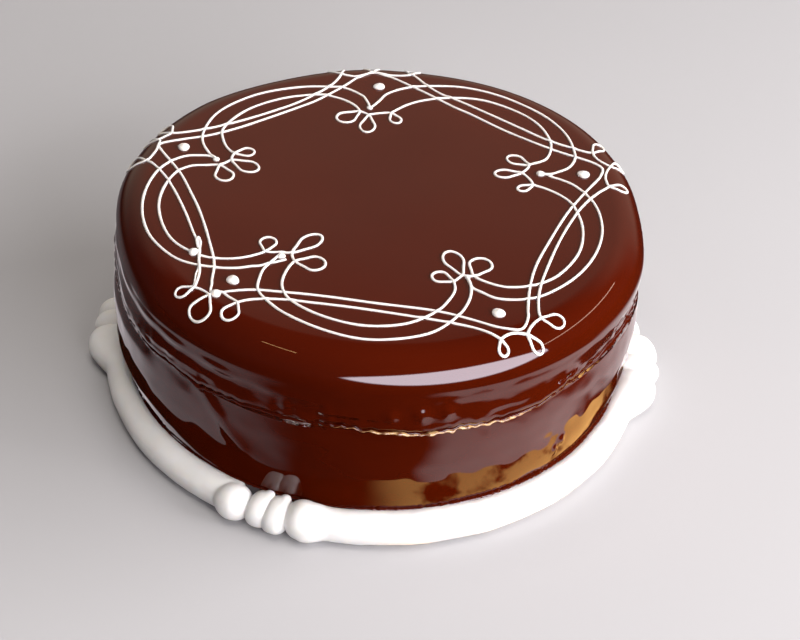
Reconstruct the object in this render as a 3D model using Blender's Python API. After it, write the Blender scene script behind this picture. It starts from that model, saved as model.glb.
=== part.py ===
"""Chocolate truffle cake: a glazed round body with a piped lattice on top and a piped border round its foot."""

import math

import bmesh
import bpy
from mathutils import Vector

MM = 0.001

# Glazed body, in millimetres.
BODY_RADIUS = 106.4
BODY_HEIGHT = 85.8
SHOULDER = 13.5
BODY_SEGMENTS = 72
SHOULDER_STEPS = 6
# Each row of the wall is (radius, height, share of the outline's bulges that it takes).
WALL_PROFILE = (
    (100.4, 0.0, 0.0),
    (102.6, 16.0, 0.0),
    (104.3, 35.0, 0.5),
    (104.4, 48.0, 0.5),
    (104.0, 54.0, 1.0),
    (105.6, 55.4, 1.0),
    (106.4, 57.6, 1.0),
    (105.8, 60.0, 1.0),
    (105.6, 64.0, 1.0),
    (106.1, 68.5, 1.0),
)
LEDGE_ROWS = (5, 6, 7)
LEDGE_WAVE = 0.55
# Waves of the ledge's edge: (waves a turn, share of LEDGE_WAVE, phase).
LEDGE_WAVES = ((7, 1.0, 0.6), (16, 0.7, 2.1), (29, 0.5, 0.0))
LEDGE_SLIP = 0.25
LEDGE_SLIPS_A_TURN = 11
# The outline isn't quite round: (azimuth, half width in degrees, how far it stands out).
OUTLINE_BULGES = ((47.0, 42.0, 2.9), (119.0, 24.0, -1.8), (197.0, 25.0, -2.1), (2.0, 16.0, -1.0))
# Hollows in the wall: (row, azimuth, half width in degrees, depth).
WALL_HOLLOWS = (
    (2, 246.0, 8.0, 0.9),
    (3, 230.0, 7.0, 0.9),
    (8, 279.0, 5.0, 0.9),
    (8, 289.0, 4.0, 0.7),
)

# Piped lines of the lattice.
LINE_WIDTH = 1.5
LINE_HEIGHT = 0.8
LINE_SINK = 0.35
LINE_TOLERANCE = 0.3
LINE_LONGEST = 14.0
OVERRUN = 2
# Lines that cross or overlap are a hair different in size, so that no two of their faces coincide.
OVERLAP_STEP = 0.035
OUTER_LINE_EXTRA = 0.01
ARCH_EXTRA = 0.02
CURVE_STEPS = 12
LOOP_SHAPE = (
    (0.30, 0.27), (0.62, 0.5), (0.90, 0.33), (1.0, 0.0), (0.90, -0.33), (0.62, -0.5), (0.30, -0.27),
)
LOOP_MIDDLE = 4

# Dots and small lumps of icing.
DOT_RADIUS = 2.4
DOT_HEIGHT = 2.0
LUMP_SIDES = 9
# Rings of a lump: (share of its radius, height as a share of its own, or below the glaze in mm).
LUMP_PROFILE = ((1.0, -0.5), (1.0, 0.25), (0.72, 0.62), (0.25, 0.92))

# Border.
GAP = 0.3
BED = 6.6
BORDER_BACK = 99.6
ROPE_REACH = 112.8
ROPE_TOP = 6.6
ROPE_WAVE = 0.25
ROPE_WAVES_A_TURN = 9
BULB_LENGTH = 8.2
BULB_TOP = 9.2
BEAD_TOP = 8.8
BEAD_SQUARENESS = 2.6
SMALLEST_END = 0.12
SMALLEST_SIDE = 0.22
# Round a section of the border from its floor, up its outer side and down to the wall.
FLOOR_ANGLES = (-108, -72)
SECTION_ANGLES = FLOOR_ANGLES + (-36, -4, 26, 56, 86, 116, 150, 200)
UNDERSIDE_ROUNDNESS = 0.85
# Stations along a bulb, in bulb lengths from the end of the rope, and along a bead.
BULB_MARKS = (0.0, 0.12, 0.4, 0.9, 1.3, 1.6, 2.0)
BEAD_MARKS = (0.0, 0.08, 0.25, 0.5, 0.75, 0.92, 1.0)
ROPE_STEP = 6.0

# The five corners, clockwise from the back. Places are (across, out) in millimetres,
# measured over the surface from the middle of the top, in the frame of that corner.
# A loop is (across, out, lean in degrees, length, width). Two outer arches meet at each
# corner: one is arriving there and the next one is leaving.
CORNERS = (
    {
        "name": "back",
        "azimuth": 94.0,
        "dot": (0.5, 82.0),
        "tip": ((-8.3, 89.4), (-1.9, 94.0), (4.0, 91.4)),
        "outer": (
            (-16.0, 92.0, -20, 10.0, 7.0),
            (-2.0, 94.6, -3, 11.0, 7.0),
            (14.5, 93.0, 14, 9.5, 6.5),
        ),
        "swags": (((-8.7, 90.3),), ((6.0, 92.1),)),
        "inner": (
            (-8.2, 61.3, -49, 11.9, 8.2),
            (-4.3, 58.5, -5, 13.7, 6.4),
            (5.3, 60.6, 17, 8.5, 5.0),
        ),
        "links": ((), ((0.3, 60.2),)),
        "arriving": ((-5.9, 72.8), (-4.4, 68.1), (-3.7, 64.0)),
        "leaving": ((-3.5, 64.4), (0.2, 70.0)),
    },
    {
        "name": "right",
        "azimuth": 17.0,
        "dot": (1.8, 84.3),
        "tip": ((-5.2, 91.9), (-1.0, 93.6), (3.9, 91.0)),
        "outer": (
            (-13.0, 93.6, -46, 10.7, 4.9),
            (-2.9, 97.9, -25, 10.7, 5.4),
            (12.0, 91.8, 7, 8.4, 4.8),
        ),
        "swags": (((-8.0, 94.0),), ((0.5, 95.2), (4.6, 92.8), (8.6, 91.9))),
        "inner": (
            (-8.7, 64.4, -49, 10.4, 6.4),
            (-3.8, 59.5, -7, 11.2, 5.8),
            (5.4, 61.4, 17, 7.5, 4.2),
        ),
        "links": ((), ((0.2, 61.2),)),
        "arriving": ((-1.1, 71.7), (-1.6, 67.0)),
        "leaving": ((-1.9, 66.8), (0.5, 71.6)),
    },
    {
        "name": "front_right",
        "azimuth": 303.0,
        "dot": (0.8, 85.5),
        "tip": ((-7.6, 92.3), (-2.0, 96.5), (4.6, 92.8)),
        "outer": (
            (-11.7, 94.7, -60, 9.1, 6.0),
            (-2.9, 99.3, -21, 8.8, 4.3),
            (7.7, 97.6, 12, 6.5, 3.9),
        ),
        "swags": (((-7.8, 95.8),), ((2.3, 96.8),)),
        "inner": (
            (-3.3, 62.6, -52, 12.0, 8.9),
            (0.3, 60.3, -12, 15.8, 7.7),
            (5.3, 61.8, 32, 8.7, 6.6),
        ),
        "links": ((), ((1.6, 60.6),)),
        "arriving": ((1.0, 68.2), (-0.9, 60.8)),
        "leaving": ((-0.8, 61.0), (0.9, 66.9)),
    },
    {
        "name": "front_left",
        "azimuth": 230.0,
        "dot": (-0.5, 81.2),
        "tip": ((-4.4, 86.6), (-0.8, 92.1), (3.2, 88.2)),
        "outer": (
            (-11.2, 89.1, -22, 9.7, 6.6),
            (-1.0, 93.4, -18, 11.9, 8.8),
            (6.0, 94.1, 29, 7.7, 4.7),
        ),
        "swags": (((-6.3, 89.1), (-2.9, 89.0)), ((3.1, 93.2),)),
        "inner": (
            (-8.0, 56.7, -55, 11.7, 8.7),
            (-3.6, 53.7, 2, 15.9, 7.2),
            (4.0, 60.2, 36, 9.3, 6.5),
        ),
        "links": ((), ((-0.3, 56.5),)),
        "arriving": ((-2.5, 65.1), (-0.9, 56.3)),
        "leaving": ((-5.2, 57.7), (-0.3, 68.9)),
    },
    {
        "name": "left",
        "azimuth": 163.0,
        "dot": (-1.0, 85.6),
        "tip": ((-7.4, 92.0), (-2.6, 96.0), (0.7, 92.8)),
        "outer": (
            (-15.3, 95.4, 5, 12.7, 7.5),
            (1.5, 97.8, 10, 11.9, 4.1),
            (6.9, 94.9, 39, 10.6, 7.0),
        ),
        "swags": (((-10.9, 94.9), (-5.2, 95.3)), ((3.8, 96.9),)),
        "inner": (
            (-7.0, 66.9, -52, 11.7, 7.5),
            (-1.6, 64.2, -13, 13.1, 7.7),
            (3.2, 65.1, 34, 8.4, 6.0),
        ),
        "links": (((-4.2, 65.4),), ((1.6, 65.0),)),
        "arriving": ((-2.6, 73.7), (-3.1, 70.3)),
        "leaving": ((-3.2, 70.3), (-1.7, 73.5)),
    },
)

# The five sides, each clockwise from the corner of the same number, in its own frame.
SIDES = (
    {
        "azimuth": 55.5,
        "outer_arch": (
            (-44.5, 62.0), (-40.5, 73.0), (-32.0, 82.0), (-22.0, 89.0), (-6.0, 93.5), (14.0, 93.0),
            (25.5, 89.5), (33.5, 85.0), (40.5, 78.5), (45.0, 72.5), (46.5, 65.0), (44.5, 58.5),
        ),
        "inner_arch": (
            (-33.5, 54.0), (-32.5, 60.5), (-29.5, 68.0), (-21.5, 78.0), (-10.0, 85.5), (8.0, 87.5),
            (18.5, 85.0), (26.0, 80.5), (32.0, 74.5), (36.0, 64.0), (33.0, 56.0),
        ),
        "inner_line": (
            (-51.5, 74.5), (-34.0, 74.0), (-17.0, 72.5), (-7.5, 72.5), (8.5, 71.5), (20.0, 71.5),
            (36.0, 72.5), (47.0, 74.5),
        ),
        "outer_line": (
            (-46.5, 82.5), (-34.5, 79.0), (-26.0, 77.5), (-18.5, 78.0), (-3.0, 78.0), (14.0, 77.5),
            (28.0, 77.0), (38.0, 78.5),
        ),
    },
    {
        "azimuth": 340.0,
        "outer_arch": (
            (-42.0, 55.5), (-41.5, 62.0), (-40.0, 67.5), (-32.0, 78.0), (-17.5, 86.0), (0.0, 89.0),
            (19.0, 86.5), (35.5, 78.5), (41.0, 72.0), (44.0, 64.0), (43.0, 58.0),
        ),
        "inner_arch": (
            (-32.5, 58.0), (-30.5, 65.0), (-27.0, 70.5), (-14.0, 79.0), (3.0, 83.0), (20.0, 80.5),
            (27.5, 76.5), (32.5, 71.5), (36.0, 65.0), (36.5, 59.0),
        ),
        "inner_line": (
            (-50.0, 75.0), (-38.0, 73.0), (-22.0, 71.0), (0.0, 70.5), (20.0, 71.0), (34.0, 73.5),
            (46.0, 77.0),
        ),
        "outer_line": (
            (-38.5, 77.5), (-28.0, 75.0), (-15.0, 74.0), (0.0, 74.0), (16.0, 75.0), (30.0, 76.5),
            (40.0, 79.0),
        ),
    },
    {
        "azimuth": 266.5,
        "outer_arch": (
            (-39.5, 60.0), (-38.5, 66.0), (-36.0, 72.5), (-26.5, 84.5), (-5.5, 91.5), (10.5, 89.0),
            (26.5, 81.5), (33.5, 75.5), (38.0, 69.5), (38.5, 62.0), (38.0, 57.0),
        ),
        "inner_arch": (
            (-33.5, 58.0), (-31.5, 65.0), (-28.0, 71.5), (-17.5, 80.5), (-2.0, 84.0), (14.0, 80.5),
            (25.5, 73.5), (29.0, 68.0), (30.0, 61.0),
        ),
        "inner_line": (
            (-49.5, 77.0), (-39.5, 74.0), (-28.0, 71.5), (-5.0, 70.5), (15.0, 69.5), (28.0, 69.5),
            (40.0, 70.0),
        ),
        "outer_line": (
            (-44.0, 79.5), (-34.0, 77.5), (-20.0, 76.0), (0.0, 74.5), (16.0, 74.0), (30.0, 74.0),
            (40.0, 76.0),
        ),
    },
    {
        "azimuth": 196.5,
        "outer_arch": (
            (-38.0, 58.0), (-38.0, 65.0), (-36.0, 73.0), (-29.0, 85.0), (-15.0, 92.5), (0.0, 94.5),
            (16.0, 92.0), (31.5, 84.5), (37.5, 78.0), (40.0, 72.0), (39.5, 66.5),
        ),
        "inner_arch": (
            (-32.0, 61.0), (-31.5, 68.0), (-29.0, 75.0), (-17.5, 85.0), (0.0, 88.0), (15.0, 85.5),
            (29.0, 77.5), (32.5, 71.0), (32.0, 65.0),
        ),
        "inner_line": (
            (-44.0, 75.0), (-34.0, 72.5), (-20.0, 72.0), (0.0, 72.5), (14.0, 74.0), (28.0, 76.0),
            (42.0, 80.0),
        ),
        "outer_line": ((-13.5, 77.0), (0.0, 78.0), (16.0, 80.0), (28.0, 82.5), (38.0, 86.5)),
    },
    {
        "azimuth": 128.5,
        "outer_arch": (
            (-43.0, 59.5), (-41.5, 67.0), (-38.0, 74.0), (-24.0, 85.5), (-3.0, 89.5), (17.0, 85.0),
            (28.5, 78.5), (33.0, 75.0), (35.5, 69.5), (36.5, 63.5),
        ),
        "inner_arch": (
            (-34.5, 60.0), (-32.5, 67.0), (-28.5, 73.5), (-12.0, 81.0), (6.0, 81.0), (18.0, 77.0),
            (22.5, 74.5), (25.5, 70.5), (28.0, 65.5), (29.0, 60.0),
        ),
        "inner_line": (
            (-46.5, 75.5), (-36.5, 72.5), (-24.0, 71.0), (-8.0, 71.0), (8.0, 71.5), (16.5, 72.0),
            (35.0, 76.0), (43.0, 78.5),
        ),
        "outer_line": (
            (-41.0, 79.0), (-30.5, 76.5), (-18.0, 75.0), (-4.0, 74.5), (10.5, 75.0), (27.5, 78.5),
            (33.5, 81.0), (38.0, 84.0),
        ),
    },
)

# The outer line was begun and ended at the front left corner. Its tail lies along its start
# and is then folded back. These places are in that corner's frame.
OUTER_LINE_START = (
    (5.3, 96.3), (7.3, 93.2), (11.6, 88.4), (14.1, 84.7),
    (18.2, 80.9), (22.1, 76.9), (26.8, 73.9),
)
OUTER_LINE_TAIL = (
    (6.9, 92.7), (9.6, 89.0), (12.2, 86.0), (17.0, 82.0),
    (21.7, 77.4), (25.8, 73.2), (27.5, 72.4), (28.0, 71.6),
)
OUTER_LINE_FOLD = ((28.0, 71.6), (27.6, 73.4), (24.6, 75.8), (22.5, 77.2))

# Lumps of icing: (corner, across, out, radius, height).
LUMPS = (
    (0, -3.8, 64.3, 1.25, 1.3),
    (1, -1.8, 67.0, 1.7, 1.5),
    (2, -0.6, 62.4, 0.95, 1.1),
    (3, -2.1, 91.2, 2.0, 1.6),
    (3, 22.2, 79.8, 2.1, 1.6),
    (3, -2.3, 58.0, 1.6, 1.0),
    (4, -3.9, 69.8, 1.3, 1.3),
)

# Ropes of the border: (name, azimuth of the start, azimuth of the end, reach of the bulb at each).
ROPES = (
    ("rope_front_right", 255.0, 355.3, 116.8, 120.1),
    ("rope_back_right", 7.0, 78.0, 116.8, 116.8),
    ("rope_back_left", 92.0, 172.0, 116.8, 114.8),
    ("rope_front_left", 180.6, 247.8, 120.3, 116.6),
)
# Beads: (name, azimuth of the start, azimuth of the end, reach).
BEADS = (
    ("bead_front_a", 247.8, 251.4, 114.6),
    ("bead_front_b", 251.4, 255.0, 115.6),
    ("bead_right_a", 355.3, 358.9, 121.2),
    ("bead_right_b", 358.9, 367.0, 121.1),
    ("bead_back_a", 78.0, 85.0, 116.0),
    ("bead_back_b", 85.0, 92.0, 116.0),
    ("bead_left_a", 172.0, 176.3, 119.8),
    ("bead_left_b", 176.3, 180.6, 119.4),
)


def clear_scene():
    for obj in list(bpy.data.objects):
        bpy.data.objects.remove(obj)


def material(name, colour, roughness):
    made = bpy.data.materials.new(name)
    made.use_nodes = True
    shader = made.node_tree.nodes["Principled BSDF"]
    shader.inputs["Base Color"].default_value = (*colour, 1.0)
    shader.inputs["Roughness"].default_value = roughness
    return made


def add_mesh(name, points, faces, paint):
    mesh = bpy.data.meshes.new(name)
    mesh.from_pydata([(x * MM, y * MM, z * MM) for x, y, z in points], [], faces)
    mesh.materials.append(paint)
    mesh.validate()
    shell = bmesh.new()
    shell.from_mesh(mesh)
    bmesh.ops.recalc_face_normals(shell, faces=shell.faces)
    shell.to_mesh(mesh)
    shell.free()
    obj = bpy.data.objects.new(name, mesh)
    bpy.context.scene.collection.objects.link(obj)
    return obj


def ring_faces(rings, size):
    """Faces of a closed shape whose points run in rings of one size, with a cap at each end."""
    last = (rings - 1) * size
    faces = [list(range(size)), list(range(last, last + size))]
    for row in range(rings - 1):
        for step in range(size):
            a, b = row * size + step, row * size + (step + 1) % size
            faces.append([a, b, b + size, a + size])
    return faces


def bump(angle, centre, half_width):
    """1 at the centre angle, falling smoothly to 0 at half_width degrees from it."""
    away = abs((angle - centre + 180.0) % 360.0 - 180.0) / half_width
    return 0.0 if away >= 1.0 else (1.0 - away * away) ** 2


def bulge(angle):
    """How far the body stands out past its round outline at this azimuth."""
    return sum(height * bump(angle, centre, half) for centre, half, height in OUTLINE_BULGES)


def body_point(row, radius, height, share, angle):
    """One point of a row, with the ragged edge of the glaze and the hollows in the wall."""
    turn = math.radians(angle)
    radius += share * bulge(angle)
    if row in LEDGE_ROWS:
        wave = sum(share * math.sin(waves * turn + phase) for waves, share, phase in LEDGE_WAVES)
        height += LEDGE_WAVE * wave
        radius -= LEDGE_SLIP * (1.0 + math.sin(LEDGE_SLIPS_A_TURN * turn + 1.3))
    for hollow_row, azimuth, half_width, depth in WALL_HOLLOWS:
        if row == hollow_row:
            radius -= depth * bump(angle, azimuth, half_width)
    return radius * math.cos(turn), radius * math.sin(turn), height


def body():
    rows = list(WALL_PROFILE)
    flat = BODY_RADIUS - SHOULDER
    for step in range(SHOULDER_STEPS + 1):
        turn = math.radians(90.0 * step / SHOULDER_STEPS)
        rows.append((flat + SHOULDER * math.cos(turn), BODY_HEIGHT - SHOULDER * (1 - math.sin(turn)), 1.0))
    points = []
    for row, (radius, height, share) in enumerate(rows):
        for step in range(BODY_SEGMENTS):
            points.append(body_point(row, radius, height, share, 360.0 * step / BODY_SEGMENTS))
    faces = ring_faces(len(rows), BODY_SEGMENTS)
    return add_mesh("cake", points, faces, material("chocolate_glaze", (0.055, 0.014, 0.006), 0.12))


def over_surface(x, y):
    """Point and outward normal of the body at a place measured over its surface from the middle."""
    reach = math.hypot(x, y)
    away = Vector((x / reach, y / reach, 0.0)) if reach > 1e-6 else Vector((1.0, 0.0, 0.0))
    flat = BODY_RADIUS - SHOULDER + bulge(math.degrees(math.atan2(y, x)))
    turn = min(max((reach - flat) / SHOULDER, 0.0), math.pi / 2)
    radius = min(reach, flat) + SHOULDER * math.sin(turn)
    height = BODY_HEIGHT - SHOULDER * (1 - math.cos(turn)) - max(0.0, reach - flat - SHOULDER * math.pi / 2)
    point = away * radius + Vector((0.0, 0.0, height))
    return point, away * math.sin(turn) + Vector((0.0, 0.0, math.cos(turn)))


def place(azimuth, across, out):
    turn = math.radians(azimuth)
    x = out * math.cos(turn) + across * math.sin(turn)
    y = out * math.sin(turn) - across * math.cos(turn)
    return Vector((x, y))


def loop_places(azimuth, loop, inward):
    """A teardrop that starts and ends at its crossing and is first run up its clockwise side."""
    across, out, lean, length, width = loop
    turn = math.radians(lean)
    way = -1.0 if inward else 1.0
    along = Vector((math.sin(turn), way * math.cos(turn)))
    side = Vector((math.cos(turn), -way * math.sin(turn)))
    start = Vector((across, out))
    places = [start]
    places += [start + along * (u * length) + side * (v * width) for u, v in LOOP_SHAPE]
    places.append(start)
    return [place(azimuth, *spot) for spot in places]


def curve(spots, closed):
    """A smooth line through the spots. Spot number n is the line's point n times CURVE_STEPS."""
    count = len(spots)
    made = []
    for index in range(count if closed else count - 1):
        p1, p2 = spots[index], spots[(index + 1) % count]
        p0 = spots[(index - 1) % count] if closed or index else p1 * 2 - p2
        p3 = spots[(index + 2) % count] if closed or index + 2 < count else p2 * 2 - p1
        d1 = max((p1 - p0).length, 1e-6) ** 0.5
        d2 = max((p2 - p1).length, 1e-6) ** 0.5
        d3 = max((p3 - p2).length, 1e-6) ** 0.5
        m1 = (p1 - p0) / d1 - (p2 - p0) / (d1 + d2) + (p2 - p1) / d2
        m2 = (p2 - p1) / d2 - (p3 - p1) / (d2 + d3) + (p3 - p2) / d3
        m1, m2 = m1 * d2, m2 * d2
        for step in range(CURVE_STEPS):
            t = step / CURVE_STEPS
            a = (2 * t**3 - 3 * t**2 + 1, t**3 - 2 * t**2 + t, -2 * t**3 + 3 * t**2, t**3 - t**2)
            made.append(p1 * a[0] + m1 * a[1] + p2 * a[2] + m2 * a[3])
    if not closed:
        made.append(spots[-1])
    return made


def thin_out(spots):
    """Fewer points, with the line kept within LINE_TOLERANCE. A spot is (point, normal)."""
    keep = {0, len(spots) - 1}
    spans = [(0, len(spots) - 1)]
    while spans:
        first, last = spans.pop()
        base = spots[last][0] - spots[first][0]
        worst, far = 0.0, None
        for index in range(first + 1, last):
            gap = spots[index][0] - spots[first][0]
            away = base.cross(gap).length / base.length if base.length > 1e-6 else gap.length
            if away > worst:
                worst, far = away, index
        if far is None:
            continue
        if worst > LINE_TOLERANCE or base.length > LINE_LONGEST:
            keep.add(far)
            spans += [(first, far), (far, last)]
    return [spots[index] for index in sorted(keep)]


def tube(name, line, group, swell):
    """A bead of icing along the line, with a peaked section sunk a little into the body."""
    spots = thin_out([over_surface(*spot) for spot in line])
    half, peak = LINE_WIDTH / 2 + swell, LINE_HEIGHT + swell
    shape = ((-half, -LINE_SINK), (half, -LINE_SINK), (0.0, peak))
    points = []
    for index, (point, normal) in enumerate(spots):
        ahead = spots[min(index + 1, len(spots) - 1)][0]
        behind = spots[max(index - 1, 0)][0]
        before, after = (point - behind), (ahead - point)
        way = before.normalized() + after.normalized()
        side = normal.cross(way).normalized()
        points += [tuple(point + side * a + normal * b) for a, b in shape]
    return to_group(name, points, ring_faces(len(spots), len(shape)), group)


def lump(name, x, y, radius, height, group):
    """A low dome of icing with a small peak."""
    point, normal = over_surface(x, y)
    side = normal.cross(Vector((0.3, 1.0, 0.2))).normalized()
    other = normal.cross(side)
    points = []
    for wide, high in LUMP_PROFILE:
        lift = high * height if high > 0 else high
        for step in range(LUMP_SIDES):
            turn = math.radians(360.0 * step / LUMP_SIDES)
            reach = (side * math.cos(turn) + other * math.sin(turn)) * radius * wide
            points.append(tuple(point + reach + normal * lift))
    return to_group(name, points, ring_faces(len(LUMP_PROFILE), LUMP_SIDES), group)


def to_group(name, points, faces, group):
    obj = add_mesh(name, points, faces, group["paint"])
    bpy.context.scene.collection.objects.unlink(obj)
    group["collection"].objects.link(obj)
    return obj


def spots_of(azimuth, places):
    return [place(azimuth, *spot) for spot in places]


def pipe_inner_line(group):
    spots, marks = [], []
    for corner, edge in zip(CORNERS, SIDES):
        tip = spots_of(corner["azimuth"], corner["tip"])
        marks.append(len(spots) + 1)
        spots += tip + spots_of(edge["azimuth"], edge["inner_line"])
    pipe_between("inner_line", curve(spots, True), [CURVE_STEPS * mark for mark in marks], group)


def pipe_between(name, line, cuts, group):
    """Pieces of a closed line from each cut to the next, each running a little past its end."""
    size = len(line)
    for index, first in enumerate(cuts):
        last = cuts[(index + 1) % len(cuts)]
        last = last if last > first else last + size
        piece = [line[step % size] for step in range(first - OVERRUN, last + OVERRUN + 1)]
        tube(f"{name}_{index}", piece, group, OVERLAP_STEP * (index % 2))


def pipe_outer_line(group):
    """From its start at the front left corner, clockwise through all the loops, to its folded tail."""
    spots = spots_of(CORNERS[3]["azimuth"], OUTER_LINE_START)
    spots += spots_of(SIDES[3]["azimuth"], SIDES[3]["outer_line"])
    cuts = [0]
    for number in (4, 0, 1, 2, 3):
        corner = CORNERS[number]
        for loop in range(3):
            cuts.append(CURVE_STEPS * (len(spots) + LOOP_MIDDLE))
            spots += loop_places(corner["azimuth"], corner["outer"][loop], False)
            if loop < 2:
                spots += spots_of(corner["azimuth"], corner["swags"][loop])
        if number != 3:
            spots += spots_of(SIDES[number]["azimuth"], SIDES[number]["outer_line"])
    spots += spots_of(CORNERS[3]["azimuth"], OUTER_LINE_TAIL)
    line = curve(spots, False)
    cuts.append(len(line) - 1)
    tube("fold", curve(spots_of(CORNERS[3]["azimuth"], OUTER_LINE_FOLD), False), group, ARCH_EXTRA)
    for index, (first, last) in enumerate(zip(cuts, cuts[1:])):
        piece = line[max(first - OVERRUN, 0) : last + OVERRUN + 1]
        tube(f"outer_line_{index}", piece, group, OUTER_LINE_EXTRA + OVERLAP_STEP * (index % 2))


def pipe_inner_arches(group):
    spots, cuts = [], []
    for number, corner in enumerate(CORNERS):
        for loop in range(3):
            cuts.append(CURVE_STEPS * (len(spots) + LOOP_MIDDLE))
            spots += loop_places(corner["azimuth"], corner["inner"][loop], True)
            if loop < 2:
                spots += spots_of(corner["azimuth"], corner["links"][loop])
        spots += spots_of(SIDES[number]["azimuth"], SIDES[number]["inner_arch"])
    pipe_between("inner_arch", curve(spots, True), cuts, group)


def pipe_outer_arches(group):
    for number, edge in enumerate(SIDES):
        left, right = CORNERS[number], CORNERS[(number + 1) % 5]
        spots = spots_of(left["azimuth"], left["leaving"])
        spots += spots_of(edge["azimuth"], edge["outer_arch"])
        spots += spots_of(right["azimuth"], right["arriving"])
        tube(f"outer_arch_{number}", curve(spots, False), group, ARCH_EXTRA)


def lattice(target):
    """Every line and lump of icing on top, fused to the body."""
    collection = bpy.data.collections.new("icing_on_top")
    bpy.context.scene.collection.children.link(collection)
    group = {"collection": collection, "paint": target.data.materials[0]}
    pipe_inner_line(group)
    pipe_outer_line(group)
    pipe_inner_arches(group)
    pipe_outer_arches(group)
    for corner in CORNERS:
        x, y = place(corner["azimuth"], *corner["dot"])
        lump("dot_" + corner["name"], x, y, DOT_RADIUS, DOT_HEIGHT, group)
    for number, (corner, across, out, radius, height) in enumerate(LUMPS):
        x, y = place(CORNERS[corner]["azimuth"], across, out)
        lump(f"lump_{number}", x, y, radius, height, group)
    union = target.modifiers.new("fuse_icing", "BOOLEAN")
    union.operation = "UNION"
    union.operand_type = "COLLECTION"
    union.collection = collection
    union.solver = "MANIFOLD"
    bpy.context.view_layer.update()
    graph = bpy.context.evaluated_depsgraph_get()
    fused = bpy.data.meshes.new_from_object(target.evaluated_get(graph))
    target.modifiers.clear()
    target.data = fused
    for obj in list(collection.objects):
        bpy.data.objects.remove(obj)
    bpy.data.collections.remove(collection)


def wall_radius(height):
    for (r0, z0, _), (r1, z1, _) in zip(WALL_PROFILE, WALL_PROFILE[1:]):
        if height <= z1:
            return r0 + (r1 - r0) * (height - z0) / (z1 - z0)
    return BODY_RADIUS


def border_section(azimuth, reach, top, size):
    """One closed section of the border, standing on the floor and held off the wall."""
    turn = math.radians(azimuth)
    half = (reach - BORDER_BACK) / 2
    points = []
    for angle in SECTION_ANGLES:
        rise = math.sin(math.radians(angle))
        if angle in FLOOR_ANGLES:
            height = BED * (1.0 - size)
        elif rise > 0:
            height = BED + size * top * rise
        else:
            height = BED - size * BED * abs(rise) ** UNDERSIDE_ROUNDNESS
        out = BORDER_BACK + half + size * half * math.cos(math.radians(angle))
        radius = max(out, wall_radius(height) + GAP)
        points.append((radius * math.cos(turn), radius * math.sin(turn), height))
    return points


def border_piece(name, stations, paint):
    points = []
    for station in stations:
        points += border_section(*station)
    return add_mesh(name, points, ring_faces(len(stations), len(SECTION_ANGLES)), paint)


def rope(name, start, end, start_reach, end_reach, paint):
    """A smooth piped rope that swells into a round bulb at each end."""
    clear = math.degrees(GAP / 2 / WALL_PROFILE[0][0])
    start, end = start + clear, end - clear
    bulb = math.degrees(BULB_LENGTH / ROPE_REACH)
    long_bulb = bulb * BULB_MARKS[-1]
    count = max(2, round((end - start - 2 * long_bulb) / ROPE_STEP))
    step = (end - start - 2 * long_bulb) / count
    angles = [start + bulb * mark for mark in BULB_MARKS]
    angles += [start + long_bulb + step * number for number in range(1, count)]
    angles += [end - bulb * mark for mark in reversed(BULB_MARKS)]
    stations = []
    for angle in angles:
        near = min(angle - start, end - angle) / bulb
        swell = 1.0 - min(max((near - 1.0) / (BULB_MARKS[-1] - 1.0), 0.0), 1.0)
        swell = swell * swell * (3 - 2 * swell)
        wave = ROPE_WAVE * math.sin(math.radians(angle * ROPE_WAVES_A_TURN))
        bulb_reach = start_reach if angle - start < end - angle else end_reach
        reach = ROPE_REACH + (bulb_reach - ROPE_REACH) * swell + wave
        top = ROPE_TOP + (BULB_TOP - ROPE_TOP) * swell + wave / 2
        size = math.sqrt(max(0.0, 1.0 - (1.0 - min(near, 1.0)) ** 2))
        stations.append((angle, reach, top, max(size, SMALLEST_END)))
    return border_piece(name, stations, paint)


def bead(name, start, end, reach, paint):
    """A narrow bead, pressed between its neighbours."""
    clear = math.degrees(GAP / 2 / WALL_PROFILE[0][0])
    start, end = start + clear, end - clear
    stations = []
    for mark in BEAD_MARKS:
        away = abs(2.0 * mark - 1.0)
        size = max(math.sqrt(max(0.0, 1.0 - away**BEAD_SQUARENESS)), SMALLEST_SIDE)
        stations.append((start + (end - start) * mark, reach, BEAD_TOP, size))
    return border_piece(name, stations, paint)


def main():
    clear_scene()
    cake = body()
    lattice(cake)
    icing = material("white_buttercream", (0.86, 0.83, 0.80), 0.5)
    for name, start, end, start_reach, end_reach in ROPES:
        rope(name, start, end, start_reach, end_reach, icing)
    for name, start, end, reach in BEADS:
        bead(name, start, end, reach, icing)


main()
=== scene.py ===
"""Looks of the chocolate truffle cake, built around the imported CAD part. Lengths are in millimetres."""

import math

import bpy
import numpy as np
from mathutils import Matrix, Vector, kdtree

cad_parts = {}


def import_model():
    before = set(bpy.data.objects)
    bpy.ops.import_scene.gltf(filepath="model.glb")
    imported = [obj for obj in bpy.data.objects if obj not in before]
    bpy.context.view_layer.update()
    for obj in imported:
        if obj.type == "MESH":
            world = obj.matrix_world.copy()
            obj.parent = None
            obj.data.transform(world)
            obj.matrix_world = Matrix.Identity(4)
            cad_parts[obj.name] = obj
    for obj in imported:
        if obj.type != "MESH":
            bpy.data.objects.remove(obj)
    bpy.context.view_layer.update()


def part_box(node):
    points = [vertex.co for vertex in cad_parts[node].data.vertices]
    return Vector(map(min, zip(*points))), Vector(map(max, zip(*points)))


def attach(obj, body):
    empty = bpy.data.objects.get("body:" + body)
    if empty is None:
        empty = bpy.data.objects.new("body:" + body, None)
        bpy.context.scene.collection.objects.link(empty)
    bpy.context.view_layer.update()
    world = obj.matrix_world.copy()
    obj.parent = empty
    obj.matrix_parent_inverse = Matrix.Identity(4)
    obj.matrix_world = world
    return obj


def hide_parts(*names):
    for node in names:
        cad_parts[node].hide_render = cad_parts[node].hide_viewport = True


MM = 0.001

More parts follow.
